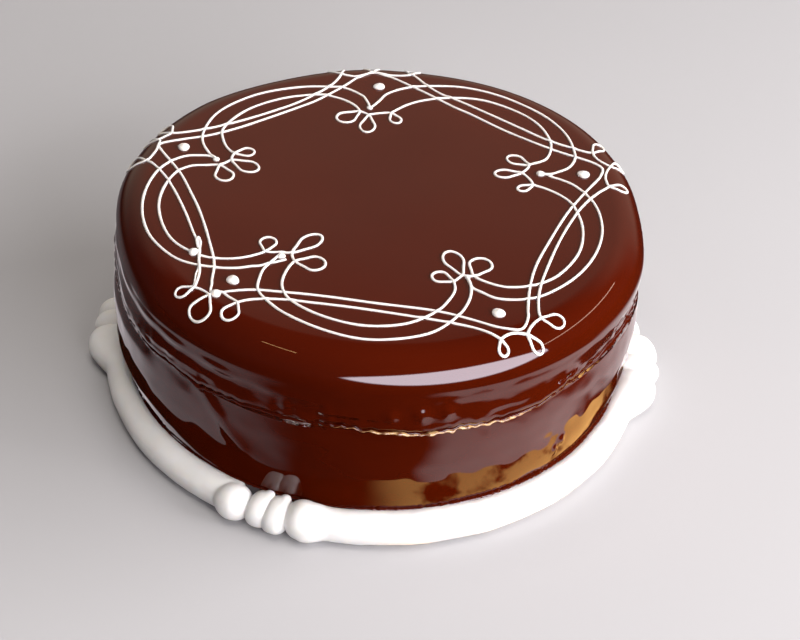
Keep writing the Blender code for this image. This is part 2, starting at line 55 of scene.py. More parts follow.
# Glazed body, as in the CAD source. An outline bulge is (azimuth, half width, how far out).
BODY_RADIUS = 106.4
BODY_HEIGHT = 85.8
SHOULDER = 13.5
OUTLINE_BULGES = ((47.0, 42.0, 2.9), (119.0, 24.0, -1.8), (197.0, 25.0, -2.1), (2.0, 16.0, -1.0))
LEDGE_HEIGHT = 55.4
LEDGE_WAVE = 0.55
# Waves of the ledge round the cake: (waves a turn, phase, share).
LEDGE_WAVES = ((7, 0.6, 1.0), (16, 2.1, 0.7), (29, 0.0, 0.5))
LEDGE_RAGGED = 0.28
# At the right the ledge climbs: (azimuth, half width, how far up).
LEDGE_CLIMB = (338.0, 38.0, 4.4)

# The lower wall up to the ledge: (height, radius).
LOWER_WALL = (
    (0.0, 100.4), (8.0, 101.4), (16.0, 102.6), (26.0, 103.6), (35.0, 104.3), (44.0, 104.5), (53.0, 104.2),
)
# The edge of the upper glaze: (height above the ledge, radius). Where it is soft, its radius is
# SOFT_EDGE and grows by SOFT_STEP over the heights of EDGE_RISE.
LEDGE = (
    (-2.6, 104.3), (-1.8, 104.65), (-1.2, 105.05), (-0.75, 105.3), (-0.4, 105.35), (-0.12, 105.2),
    (0.08, 104.85), (0.18, 104.4), (0.22, 103.9), (0.35, 103.8), (0.45, 104.1), (0.55, 104.7),
    (0.7, 105.2), (1.0, 105.6), (1.5, 105.9), (2.3, 106.05), (3.4, 106.0), (4.6, 105.9),
)
SOFT_EDGE = 104.3
SOFT_STEP = 1.6
EDGE_RISE = (-2.6, 3.0)
# How sharp the edge is, how much that varies, and its least and most.
EDGE_DEPTH = 0.75
EDGE_VARIES = 0.45
EDGE_LIMITS = (0.15, 1.2)
# The glaze above the crack slips back in waves: (how far, waves a turn, phase, from which height).
EDGE_SLIP = (0.25, 11, 1.3, 0.3)
UPPER_WALL = ((60.4, 105.85), (64.0, 105.8), (66.5, 105.9), (69.0, 106.2), (72.3, 106.4))
UPPER_MARGIN = 0.4
# Half of the outline's bulges comes in over each of the first two rises, and the ledge's climb
# over the third.
BULGE_SHARE = 0.5
FOOT_RISE = (10.0, 40.0)
WAIST_RISE = (46.0, 53.0)
CLIMB_RISE = (18.0, 50.0)

# How far the wall stands out at the left and at the right: (height, millimetres).
LEFT_SWELL = (
    (0.0, 0.0), (14.0, 0.8), (24.0, 3.9), (36.0, 3.7), (49.0, 3.2), (55.0, 2.4), (61.0, 1.6),
    (66.0, 0.9), (72.0, 0.0),
)
RIGHT_SWELL = (
    (0.0, 0.0), (14.0, 0.4), (24.0, 2.2), (36.0, 2.5), (46.0, 2.6), (56.5, 2.1), (59.5, 1.5), (62.0, 0.0),
)
# Where they are: (azimuth, half width, table).
SIDE_SWELLS = ((190.0, 50.0, LEFT_SWELL), (351.0, 38.0, RIGHT_SWELL))

# Where the upper glaze leans out towards its edge, at the front right and at the front left: (how
# far for each millimetre down, the azimuths where it begins, is full, starts to fade and ends, its
# top, how far the top falls for each degree, depth, seed). At the far right it leans in.
FLARES = (
    (0.1, (258.0, 274.0, 312.0, 324.0), 71.0, 0.0, math.inf, 18),
    (0.12, (196.0, 208.0, 238.0, 252.0), 69.4, 0.076, 6.5, 19),
)
FLARE_START = 190.0
FLARE_RAGGED = 0.7
UNDERCUT = 0.14
UNDERCUT_TOP = 69.5
UNDERCUT_MIDDLE = 348.0
UNDERCUT_HALF = 40.0
UNDERCUT_GAIN = 1.6
UNDERCUT_RAGGED = 0.8

# Unevenness of the glaze. Lumps are (how far out, size, seed). The wall's fade over WALL_FADE and
# the lower wall's over LOWER_FADE. The drips above the ledge lie in DRIP_SPAN.
BODY_LUMPS = (0.10, 60.0, 11)
WALL_LUMPS = (0.16, 26.0, 12)
LOWER_LUMPS = (0.07, 11.0, 13)
DRIP_LUMPS = (0.12, 9.0, 15)
DRIP_OUT = 0.12
DRIP_PATCHES = (-0.4, 0.9)
WALL_FADE = (66.0, 73.0)
LOWER_FADE = (50.0, 56.0)
DRIP_SPAN = (55.0, 57.0, 60.0, 67.5)
# Ridges: (start and end as (azimuth, height), half width), and how far out they stand.
LOWER_RIDGE = ((234.0, 52.0), (244.0, 31.0), 4.0)
LOWER_RIDGE_OUT = 0.55
UPPER_RIDGE = ((190.0, 71.5), (262.0, 66.0), 2.6)
UPPER_RIDGE_OUT = 0.34
UPPER_RIDGE_VARIES = 0.5
# Mounds and hollows of the wall: (azimuth, height, half width, half height, how far out).
WALL_MOUNDS = (
    (275.2, 63.0, 3.2, 3.3, 0.85),
    (281.0, 63.2, 3.9, 3.9, 1.15),
    (286.2, 63.4, 2.9, 3.2, 0.85),
    (258.0, 57.5, 3.0, 1.8, 0.7),
    (263.5, 58.5, 2.4, 2.0, 0.6),
    (247.0, 36.0, 14.0, 9.0, -0.5),
    (316.5, 25.5, 1.9, 1.7, 1.1),
    (314.8, 22.0, 1.5, 2.2, 0.9),
)
# How fast mounds and ridges fall away.
MOUND_FALL = 1.6

BODY_SEGMENTS = 840
LOWER_ROWS = 34
UPPER_ROWS = 14
SHOULDER_ROWS = 24
TOP_RINGS = 16

# Thin strips on the wall: the skirt over the border and the strip on the lip of the ledge, whose pale
# golden colour is a painted reflection. Sizes are in millimetres for a strength of 1.
STRIP_SIDES = 10
STRIP_WIDE = 1.1
STRIP_TALL = 0.75
STRIP_DROOP = 0.4
SKIRT_STEPS = 1400
SKIRT_HEIGHT = 12.5
SKIRT_WAVE = 0.2
SKIRT_OFF_WALL = 0.3
SKIRT_STRENGTH = 0.36
SKIRT_VARIES = 0.12
# At the front right the skirt is thicker: how much, azimuth, half width.
SKIRT_THICK = (0.75, 308.0, 48.0)
SKIRT_RAGGED = 0.22
SKIRT_NOTCH = 0.7
SKIRT_NOTCHES = (1.25, 1.45)
SKIRT_LIMITS = (0.2, 1.25)
TRIM_RANGE = (262.0, 309.0)
TRIM_ENDS = (16.0, 9.0)
TRIM_STEPS = 260
TRIM_SIZE = 0.62
TRIM_DOWN = 0.55
TRIM_WAVE = 0.25
TRIM_RADIUS = 105.35
TRIM_SUNK = 0.25
TRIM_COARSE = 0.32
TRIM_FINE = 0.2
TRIM_LEAST = 0.12

# Piped lines. A wobble is (share, size, step of the seed).
LINE_WIDTH = 1.06
LINE_HEIGHT = 0.55
LINE_SINK = 0.3
LINE_SIDES = 12
LINE_STEP = 0.45
LINE_SMOOTHING = 5
LIFT_SMOOTHING = 3
LINE_WOBBLES = ((0.06, 9.0, 0), (0.05, 30.0, 100))
LINE_SEED = 40
# The start of the outer line is thinner: its length, how thin it is and how soon it changes.
THIN_LENGTH = 14.0
THIN_SHARE = 0.62
THIN_CHANGE = 4.0
CURVE_STEPS = 14
LOOP_SHAPE = (
    (0.30, 0.27), (0.62, 0.5), (0.90, 0.33), (1.0, 0.0), (0.90, -0.33), (0.62, -0.5), (0.30, -0.27),
)
# A crossing line is raised from this far away. A line doesn't rest on its own last OWN_LENGTH.
CROSSING_REACH = LINE_WIDTH * 1.15
CROSSING_LIFT = 0.62 * LINE_HEIGHT
OWN_LENGTH = 6.0
DOT_RADIUS = 2.45
DOT_HEIGHT = 1.7
LUMP_PEAK = 0.3
LUMP_SEED = 7
# Outline of a drop of icing: (share of the radius, share of the height).
DOME_PROFILE = (
    (0.86, -0.45), (0.97, -0.1), (1.0, 0.14), (0.97, 0.32), (0.88, 0.48), (0.72, 0.62),
    (0.52, 0.74), (0.32, 0.84), (0.16, 0.93), (0.06, 1.0),
)
DOME_STEPS = 28

# Border. A reach beyond FAR_REACH makes a longer swell and a higher bead.
BED = 6.6
BORDER_BACK = 99.6
SHELL_SIDES = 32
BALL_RINGS = 24
FAR_REACH = 118.0
ROPE_REACH = 112.5
ROPE_TOP = 6.6
ROPE_STATIONS = 1.3  # for each degree
ROPE_WAVE = 0.2
ROPE_WAVES = 9
ROPE_SEED = 200
BULB_LENGTH = 7.4
BULB_SQUARENESS = 2.2
BULB_TOP = 8.3
BALL_SIZES = (7.8, 7.3, 7.2)
BALL_REACH = 116.2
BALL_TURN = 0.3
SWELL_FLAT = 2.0
SWELL_LENGTH = 10.5
LONG_SWELL = 19.0
BEAD_TOP = 7.0
HIGH_BEAD = 0.8
BEAD_OVERLAP = 2.1
BEAD_SQUARENESS = 2.6
BEAD_LEAN = 0.08
BEAD_PEAK = (2.4, 3.2, 1.9)
BEAD_PEAK_REACH = 104.4
BEAD_PEAK_TURN = 1.0
BEAD_PEAK_DOWN = 1.6
BEAD_SEED = 300
# How far balls and beads reach into the floor, where they are cut off flat.
FLOOR_CUT = 0.2
SWEEP_CUT = 0.4
WALL_GAP = 0.1
# Unevenness of the border: (how far out, size, step of the seed).
BORDER_LUMPS = ((0.16, 22.0, 0), (0.05, 6.0, 1))
# How a rope and a bead are fused: the size of a voxel and the smoothing passes.
ROPE_SKIN = (0.55, 5)
BEAD_SKIN = (0.5, 4)

# The five corners, clockwise from the back. Places are (across, out) in millimetres,
# measured over the surface from the middle of the top, in the frame of that corner.
# A loop is (across, out, lean in degrees, length, width). Two outer arches meet at each
# corner: one is arriving there and the next one is leaving.
CORNERS = (
    {
        "name": "back",
        "azimuth": 94.0,
        "dot": (0.5, 82.0),
        "tip": ((-8.3, 89.4), (-1.9, 94.0), (4.0, 91.4)),
        "outer": ((-16.0, 92.0, -20, 10.0, 7.0), (-2.0, 94.6, -3, 11.0, 7.0), (14.5, 93.0, 14, 9.5, 6.5)),
        "swags": (((-8.7, 90.3),), ((6.0, 92.1),)),
        "inner": ((-8.2, 61.3, -49, 11.9, 8.2), (-4.3, 58.5, -5, 13.7, 6.4), (5.3, 60.6, 17, 8.5, 5.0)),
        "links": ((), ((0.3, 60.2),)),
        "arriving": ((-5.9, 72.8), (-4.4, 68.1), (-3.7, 64.0)),
        "leaving": ((-3.5, 64.4), (0.2, 70.0)),
    },
    {
        "name": "right",
        "azimuth": 17.0,
        "dot": (1.8, 84.3),
        "tip": ((-5.2, 91.9), (-1.0, 93.6), (3.9, 91.0)),
        "outer": ((-13.0, 93.6, -46, 10.7, 4.9), (-2.9, 97.9, -25, 10.7, 5.4), (12.0, 91.8, 7, 8.4, 4.8)),
        "swags": (((-8.0, 94.0),), ((0.5, 95.2), (4.6, 92.8), (8.6, 91.9))),
        "inner": ((-8.7, 64.4, -49, 10.4, 6.4), (-3.8, 59.5, -7, 11.2, 5.8), (5.4, 61.4, 17, 7.5, 4.2)),
        "links": ((), ((0.2, 61.2),)),
        "arriving": ((-1.1, 71.7), (-1.6, 67.0)),
        "leaving": ((-1.9, 66.8), (0.5, 71.6)),
    },
    {
        "name": "front_right",
        "azimuth": 303.0,
        "dot": (0.8, 85.5),
        "tip": ((-7.6, 92.3), (-2.0, 96.5), (4.6, 92.8)),
        "outer": ((-11.7, 94.7, -60, 9.1, 6.0), (-2.9, 99.3, -21, 8.8, 4.3), (7.7, 97.6, 12, 6.5, 3.9)),
        "swags": (((-7.8, 95.8),), ((2.3, 96.8),)),
        "inner": ((-3.3, 62.6, -52, 12.0, 8.9), (0.3, 60.3, -12, 15.8, 7.7), (5.3, 61.8, 32, 8.7, 6.6)),
        "links": ((), ((1.6, 60.6),)),
        "arriving": ((1.0, 68.2), (-0.9, 60.8)),
        "leaving": ((-0.8, 61.0), (0.9, 66.9)),
    },
    {
        "name": "front_left",
        "azimuth": 230.0,
        "dot": (-0.5, 81.2),
        "tip": ((-4.4, 86.6), (-0.8, 92.1), (3.2, 88.2)),
        "outer": ((-11.2, 89.1, -22, 9.7, 6.6), (-1.0, 93.4, -18, 11.9, 8.8), (6.0, 94.1, 29, 7.7, 4.7)),
        "swags": (((-6.3, 89.1), (-2.9, 89.0)), ((3.1, 93.2),)),
        "inner": ((-8.0, 56.7, -55, 11.7, 8.7), (-3.6, 53.7, 2, 15.9, 7.2), (4.0, 60.2, 36, 9.3, 6.5)),
        "links": ((), ((-0.3, 56.5),)),
        "arriving": ((-2.5, 65.1), (-0.9, 56.3)),
        "leaving": ((-5.2, 57.7), (-0.3, 68.9)),
    },
    {
        "name": "left",
        "azimuth": 163.0,
        "dot": (-1.0, 85.6),
        "tip": ((-7.4, 92.0), (-2.6, 96.0), (0.7, 92.8)),
        "outer": ((-15.3, 95.4, 5, 12.7, 7.5), (1.5, 97.8, 10, 11.9, 4.1), (6.9, 94.9, 39, 10.6, 7.0)),
        "swags": (((-10.9, 94.9), (-5.2, 95.3)), ((3.8, 96.9),)),
        "inner": ((-7.0, 66.9, -52, 11.7, 7.5), (-1.6, 64.2, -13, 13.1, 7.7), (3.2, 65.1, 34, 8.4, 6.0)),
        "links": (((-4.2, 65.4),), ((1.6, 65.0),)),
        "arriving": ((-2.6, 73.7), (-3.1, 70.3)),
        "leaving": ((-3.2, 70.3), (-1.7, 73.5)),
    },
)

# The five sides, each clockwise from the corner of the same number, in its own frame.
SIDES = (
    {
        "azimuth": 55.5,
        "outer_arch": (
            (-44.5, 62.0), (-40.5, 73.0), (-32.0, 82.0), (-22.0, 89.0), (-6.0, 93.5), (14.0, 93.0),
            (25.5, 89.5), (33.5, 85.0), (40.5, 78.5), (45.0, 72.5), (46.5, 65.0), (44.5, 58.5),
        ),
        "inner_arch": (
            (-33.5, 54.0), (-32.5, 60.5), (-29.5, 68.0), (-21.5, 78.0), (-10.0, 85.5), (8.0, 87.5),
            (18.5, 85.0), (26.0, 80.5), (32.0, 74.5), (36.0, 64.0), (33.0, 56.0),
        ),
        "inner_line": (
            (-51.5, 74.5), (-34.0, 74.0), (-17.0, 72.5), (-7.5, 72.5), (8.5, 71.5), (20.0, 71.5),
            (36.0, 72.5), (47.0, 74.5),
        ),
        "outer_line": (
            (-46.5, 82.5), (-34.5, 79.0), (-26.0, 77.5), (-18.5, 78.0), (-3.0, 78.0), (14.0, 77.5),
            (28.0, 77.0), (38.0, 78.5),
        ),
    },
    {
        "azimuth": 340.0,
        "outer_arch": (
            (-42.0, 55.5), (-41.5, 62.0), (-40.0, 67.5), (-32.0, 78.0), (-17.5, 86.0), (0.0, 89.0),
            (19.0, 86.5), (35.5, 78.5), (41.0, 72.0), (44.0, 64.0), (43.0, 58.0),
        ),
        "inner_arch": (
            (-32.5, 58.0), (-30.5, 65.0), (-27.0, 70.5), (-14.0, 79.0), (3.0, 83.0), (20.0, 80.5),
            (27.5, 76.5), (32.5, 71.5), (36.0, 65.0), (36.5, 59.0),
        ),
        "inner_line": (
            (-50.0, 75.0), (-38.0, 73.0), (-22.0, 71.0), (0.0, 70.5), (20.0, 71.0), (34.0, 73.5),
            (46.0, 77.0),
        ),
        "outer_line": (
            (-38.5, 77.5), (-28.0, 75.0), (-15.0, 74.0), (0.0, 74.0), (16.0, 75.0), (30.0, 76.5),
            (40.0, 79.0),
        ),
    },
    {
        "azimuth": 266.5,
        "outer_arch": (
            (-39.5, 60.0), (-38.5, 66.0), (-36.0, 72.5), (-26.5, 84.5), (-5.5, 91.5), (10.5, 89.0),
            (26.5, 81.5), (33.5, 75.5), (38.0, 69.5), (38.5, 62.0), (38.0, 57.0),
        ),
        "inner_arch": (
            (-33.5, 58.0), (-31.5, 65.0), (-28.0, 71.5), (-17.5, 80.5), (-2.0, 84.0), (14.0, 80.5),
            (25.5, 73.5), (29.0, 68.0), (30.0, 61.0),
        ),
        "inner_line": (
            (-49.5, 77.0), (-39.5, 74.0), (-28.0, 71.5), (-5.0, 70.5), (15.0, 69.5), (28.0, 69.5),
            (40.0, 70.0),
        ),
        "outer_line": (
            (-44.0, 79.5), (-34.0, 77.5), (-20.0, 76.0), (0.0, 74.5), (16.0, 74.0), (30.0, 74.0),
            (40.0, 76.0),
        ),
    },
    {
        "azimuth": 196.5,
        "outer_arch": (
            (-38.0, 58.0), (-38.0, 65.0), (-36.0, 73.0), (-29.0, 85.0), (-15.0, 92.5), (0.0, 94.5),
            (16.0, 92.0), (31.5, 84.5), (37.5, 78.0), (40.0, 72.0), (39.5, 66.5),
        ),
        "inner_arch": (
            (-32.0, 61.0), (-31.5, 68.0), (-29.0, 75.0), (-17.5, 85.0), (0.0, 88.0), (15.0, 85.5),
            (29.0, 77.5), (32.5, 71.0), (32.0, 65.0),
        ),
        "inner_line": (
            (-44.0, 75.0), (-34.0, 72.5), (-20.0, 72.0), (0.0, 72.5), (14.0, 74.0), (28.0, 76.0),
            (42.0, 80.0),
        ),
        "outer_line": ((-13.5, 77.0), (0.0, 78.0), (16.0, 80.0), (28.0, 82.5), (38.0, 86.5)),
    },
    {
        "azimuth": 128.5,
        "outer_arch": (
            (-43.0, 59.5), (-41.5, 67.0), (-38.0, 74.0), (-24.0, 85.5), (-3.0, 89.5), (17.0, 85.0),
            (28.5, 78.5), (33.0, 75.0), (35.5, 69.5), (36.5, 63.5),
        ),
        "inner_arch": (
            (-34.5, 60.0), (-32.5, 67.0), (-28.5, 73.5), (-12.0, 81.0), (6.0, 81.0), (18.0, 77.0),
            (22.5, 74.5), (25.5, 70.5), (28.0, 65.5), (29.0, 60.0),
        ),
        "inner_line": (
            (-46.5, 75.5), (-36.5, 72.5), (-24.0, 71.0), (-8.0, 71.0), (8.0, 71.5), (16.5, 72.0),
            (35.0, 76.0), (43.0, 78.5),
        ),
        "outer_line": (
            (-41.0, 79.0), (-30.5, 76.5), (-18.0, 75.0), (-4.0, 74.5), (10.5, 75.0), (27.5, 78.5),
            (33.5, 81.0), (38.0, 84.0),
        ),
    },
)

# The outer line was begun and ended at the front left corner. Its tail lies along its start
# and is then folded back. These places are in that corner's frame.
OUTER_LINE_START = (
    (5.3, 96.3), (7.3, 93.2), (11.6, 88.4), (14.1, 84.7),
    (18.2, 80.9), (22.1, 76.9), (26.8, 73.9),
)
OUTER_LINE_TAIL = (
    (6.9, 92.7), (9.6, 89.0), (12.2, 86.0), (17.0, 82.0),
    (21.7, 77.4), (25.8, 73.2), (27.5, 72.4), (28.0, 71.6),
)
OUTER_LINE_FOLD = ((28.0, 71.6), (27.6, 73.4), (24.6, 75.8), (22.5, 77.2))

# Lumps of icing: (corner, across, out, radius, height).
LUMPS = (
    (0, -3.8, 64.3, 1.25, 1.3),
    (1, -1.8, 67.0, 1.7, 1.5),
    (2, -0.6, 62.4, 0.95, 1.1),
    (3, -2.1, 91.2, 2.0, 1.6),
    (3, 22.2, 79.8, 2.1, 1.6),
    (3, -2.3, 58.0, 1.6, 1.0),
    (4, -3.9, 69.8, 1.3, 1.3),
)

# Ropes of the border: (name, azimuth of the start, azimuth of the end, reach of the bulb at each).
ROPES = (
    ("rope_front_right", 255.0, 355.3, 115.4, 120.1),
    ("rope_back_right", 7.0, 78.0, 116.8, 116.8),
    ("rope_back_left", 92.0, 172.0, 116.8, 114.8),
    ("rope_front_left", 180.6, 247.8, 120.3, 116.6),
)
# Beads: (name, azimuth of the start, azimuth of the end, reach).
BEADS = (
    ("bead_front_a", 247.8, 251.4, 114.6),
    ("bead_front_b", 251.4, 255.0, 115.6),
    ("bead_right_a", 355.3, 358.9, 121.2),
    ("bead_right_b", 358.9, 367.0, 121.1),
    ("bead_back_a", 78.0, 85.0, 116.0),
    ("bead_back_b", 85.0, 92.0, 116.0),
    ("bead_left_a", 172.0, 176.3, 119.8),
    ("bead_left_b", 176.3, 180.6, 119.4),
)

# The reach that marks a rope's end as a ball.
BALL_MARK = 116.6

# Camera.
LENS = 74.77
SENSOR = 36.0
CAMERA_ELEVATION = 38.53
CAMERA_ROLL = 3.707
CAMERA_DISTANCE = 698.3
CAMERA_TARGET = (10.4, 0.0, 22.5)


# ---------------------------------------------------------------- shapes


def ring_noise(azimuth, lowest, highest, seed, count=9):
    """Periodic noise round the cake, about -1 to 1, with that many waves a turn."""
    random = np.random.default_rng(seed)
    turn = np.radians(azimuth)
    total = np.zeros_like(turn)
    for wave in np.linspace(lowest, highest, count):
        total += np.sin(round(wave) * turn + random.uniform(0, 2 * math.pi))
    return total / math.sqrt(count)


def space_noise(points, size, seed, count=14):
    """Smooth noise in space, about -1 to 1, with lumps of that size in millimetres."""
    random = np.random.default_rng(seed)
    total = np.zeros(len(points))
    for _ in range(count):
        way = random.normal(size=3)
        way *= 2 * math.pi / size * random.uniform(0.5, 1.3) / np.linalg.norm(way)
        total += np.sin(points @ way + random.uniform(0, 2 * math.pi))
    return total * math.sqrt(2.0 / count) / 1.6


def smooth_step(value, low, high):
    """A smooth rise from 0 at low to 1 at high."""
    t = np.clip((value - low) / (high - low), 0.0, 1.0)
    return t * t * (3 - 2 * t)


def span(value, begins, full, fades, ends):
    """1 from full to fades, 0 before begins and after ends."""
    return smooth_step(value, begins, full) * (1.0 - smooth_step(value, fades, ends))


def degrees_from(azimuth, centre):
    """Signed angle from the centre, from -180 to 180 degrees."""
    return (azimuth - centre + 180.0) % 360.0 - 180.0


def bump(azimuth, centre, half_width):
    """A soft hill, 1 at the centre and 0 from the half width on."""
    away = np.abs(degrees_from(azimuth, centre)) / half_width
    return np.where(away >= 1.0, 0.0, (1.0 - away * away) ** 2)


def from_table(place, table):
    """The value at a place in a table of (place, value)."""
    places, values = np.array(table).T
    return np.interp(place, places, values)


def bulge(azimuth):
    return sum(height * bump(azimuth, centre, half) for centre, half, height in OUTLINE_BULGES)


def spot_bump(azimuth, height, centre, middle, wide, tall):
    """A soft mound on the wall, 1 at its middle. Width and height are in millimetres."""
    across = np.radians(degrees_from(azimuth, centre)) * BODY_RADIUS
    away = (across / wide) ** 2 + ((height - middle) / tall) ** 2
    return np.exp(-MOUND_FALL * away)


def ridge_bump(azimuth, height, start, end, wide):
    """A soft ridge on the wall from one (azimuth, height) to another."""
    across = np.radians(degrees_from(azimuth, start[0])) * BODY_RADIUS
    along = np.array([math.radians(end[0] - start[0]) * BODY_RADIUS, end[1] - start[1]])
    length = np.linalg.norm(along)
    along /= length
    run = np.clip(across * along[0] + (height - start[1]) * along[1], 0.0, length)
    off = np.hypot(across - run * along[0], height - start[1] - run * along[1])
    return np.exp(-MOUND_FALL * (off / wide) ** 2)


def circle(count):
    """That many angles round a circle."""
    return np.linspace(0.0, 2 * math.pi, count, endpoint=False)


def polar(points):
    """Azimuth and reach of points, as seen from above."""
    x, y = points[:, 0], points[:, 1]
    return np.degrees(np.arctan2(y, x)), np.hypot(x, y)


def around(radius, turn, height):
    """Points at a radius, an angle round the cake and a height."""
    return np.stack([radius * np.cos(turn), radius * np.sin(turn), height], axis=-1)


def grid_faces(rings, size, closed):
    """Quads between rings of one size; closed joins the last ring to the first."""
    row = np.arange(rings if closed else rings - 1)[:, None]
    step = np.arange(size)[None, :]
    after = (row + 1) % rings
    a = row * size + step
    b = row * size + (step + 1) % size
    c = after * size + (step + 1) % size
    d = after * size + step
    return np.stack([a, b, c, d], axis=-1).reshape(-1, 4).tolist()


def tube_faces(rings, size, closed=False):
    """Quads between rings of one size, with a face over each end unless the tube is closed."""
    faces = grid_faces(rings, size, closed)
    if not closed:
        last = (rings - 1) * size
        faces.append(list(range(size))[::-1])
        faces.append(list(range(last, last + size)))
    return faces


def add_object(name, data):
    made = bpy.data.objects.new(name, data)
    bpy.context.scene.collection.objects.link(made)
    return made


def add_mesh(name, points, faces, paint, smooth=True):
    mesh = bpy.data.meshes.new(name)
    mesh.from_pydata((np.asarray(points) * MM).tolist(), [], faces)
    mesh.materials.append(paint)
    mesh.validate()
    if smooth:
        mesh.polygons.foreach_set("use_smooth", [True] * len(mesh.polygons))
    return add_object(name, mesh)


def body_piece(obj, nodes):
    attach(obj, "root")
    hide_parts(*nodes)
    return obj


def cake_piece(name, points, faces, paint):
    """A piece that stands for the cake itself and not for a part of the border."""
    return body_piece(add_mesh(name, points, faces, paint), ("cake",))


# ---------------------------------------------------------------- glazed body


def side_swell(azimuth, height):
    return sum(bump(azimuth, centre, half) * from_table(height, table) for centre, half, table in SIDE_SWELLS)


def flare(azimuth, height):
    """How far the upper glaze leans out towards its edge. At the far right it leans in."""
    out = 0.0
    for lean, where, top, fall, depth, seed in FLARES:
        top = top - fall * (azimuth - FLARE_START) + FLARE_RAGGED * ring_noise(azimuth, 10, 50, seed)
        out = out + lean * span(azimuth, *where) * np.clip(top - height, 0.0, depth)
    far_share = np.minimum(1.0, UNDERCUT_GAIN * bump(azimuth, UNDERCUT_MIDDLE, UNDERCUT_HALF))
    far_top = UNDERCUT_TOP + UNDERCUT_RAGGED * ring_noise(azimuth, 12, 60, 24)
    return out - UNDERCUT * far_share * np.maximum(0.0, far_top - height)


def lumps(points, out, size, seed):
    return out * space_noise(points, size, seed)


def body_relief(points, azimuth, height):
    """How far the glaze stands out of its plain shape, in millimetres."""
    wall = 1.0 - smooth_step(height, *WALL_FADE)
    lower = 1.0 - smooth_step(height, *LOWER_FADE)
    drips = span(height, *DRIP_SPAN)
    patches = smooth_step(ring_noise(azimuth, 4, 14, 16), *DRIP_PATCHES)
    out = lumps(points, *BODY_LUMPS) + wall * lumps(points, *WALL_LUMPS) + lower * lumps(points, *LOWER_LUMPS)
    out += drips * DRIP_OUT * patches * ring_noise(azimuth, 50, 130, 14)
    out += drips * lumps(points, *DRIP_LUMPS)
    out += LOWER_RIDGE_OUT * ridge_bump(azimuth, height, *LOWER_RIDGE)
    uneven = 1.0 + UPPER_RIDGE_VARIES * ring_noise(azimuth, 8, 34, 17)
    out += UPPER_RIDGE_OUT * uneven * ridge_bump(azimuth, height, *UPPER_RIDGE)
    for centre, middle, wide, tall, size in WALL_MOUNDS:
        out += size * spot_bump(azimuth, height, centre, middle, wide, tall)
    return out


def ledge_climb(azimuth):
    centre, half, rise = LEDGE_CLIMB
    return rise * bump(azimuth, centre, half)


def ledge_line(azimuth):
    """Height of the ledge."""
    turn = np.radians(azimuth)
    wave = sum(share * np.sin(waves * turn + phase) for waves, phase, share in LEDGE_WAVES)
    even = LEDGE_HEIGHT + ledge_climb(azimuth) + LEDGE_WAVE * wave
    return even + LEDGE_RAGGED * ring_noise(azimuth, 60, 170, 21)


def ledge_depth(azimuth):
    """How sharply the upper glaze ends: 1 is a full lip with a crack under it, 0 is a soft step."""
    return np.clip(EDGE_DEPTH + EDGE_VARIES * ring_noise(azimuth, 9, 40, 22), *EDGE_LIMITS)


def ledge_radius(azimuth, above, radius):
    """Radius of the wall that far above the ledge's line, for a row of the LEDGE table."""
    back, waves, phase, lowest = EDGE_SLIP
    slip = back * (1.0 + np.sin(waves * np.radians(azimuth) + phase))
    soft = SOFT_EDGE + SOFT_STEP * smooth_step(above, *EDGE_RISE)
    wide = soft + (radius - slip * (above > lowest) - soft) * ledge_depth(azimuth)
    height = ledge_line(azimuth) + above
    outer = side_swell(azimuth, height) + flare(azimuth, height) * smooth_step(above, EDGE_RISE[0], -0.5)
    return bulge(azimuth) + wide + outer


def body_rows(azimuth):
    """Radius and height of each row of the body, from the floor up and then in over the top."""
    out_of_round = bulge(azimuth)
    climb = ledge_climb(azimuth)
    for level in np.linspace(0.0, LOWER_WALL[-1][0], LOWER_ROWS):
        share = BULGE_SHARE * smooth_step(level, *FOOT_RISE) + BULGE_SHARE * smooth_step(level, *WAIST_RISE)
        height = level + climb * smooth_step(level, *CLIMB_RISE)
        yield from_table(level, LOWER_WALL) + share * out_of_round + side_swell(azimuth, height), height
    for above, radius in LEDGE:
        yield ledge_radius(azimuth, above, radius), ledge_line(azimuth) + above
    low, high = UPPER_WALL[0][0] + UPPER_MARGIN + climb, UPPER_WALL[-1][0] - UPPER_MARGIN
    for share in np.linspace(0.0, 1.0, UPPER_ROWS):
        height = low * (1.0 - share) + high * share
        wide = from_table(height, UPPER_WALL) + out_of_round
        yield wide + side_swell(azimuth, height) + flare(azimuth, height), height
    flat = BODY_RADIUS - SHOULDER
    for step in range(SHOULDER_ROWS + 1):
        angle = math.radians(90.0 * step / SHOULDER_ROWS)
        level = BODY_HEIGHT - SHOULDER * (1 - math.sin(angle))
        yield flat + SHOULDER * math.cos(angle) + out_of_round, np.full(len(azimuth), level)
    for ring in range(1, TOP_RINGS):
        yield (flat + out_of_round) * (1.0 - ring / TOP_RINGS), np.full(len(azimuth), BODY_HEIGHT)


def surface_normals(points):
    """Outward normals of a grid of points, rows by steps round."""
    along = np.roll(points, -1, axis=1) - np.roll(points, 1, axis=1)
    up = np.gradient(points, axis=0)
    normals = np.cross(along, up)
    return normals / np.maximum(np.linalg.norm(normals, axis=-1, keepdims=True), 1e-9)


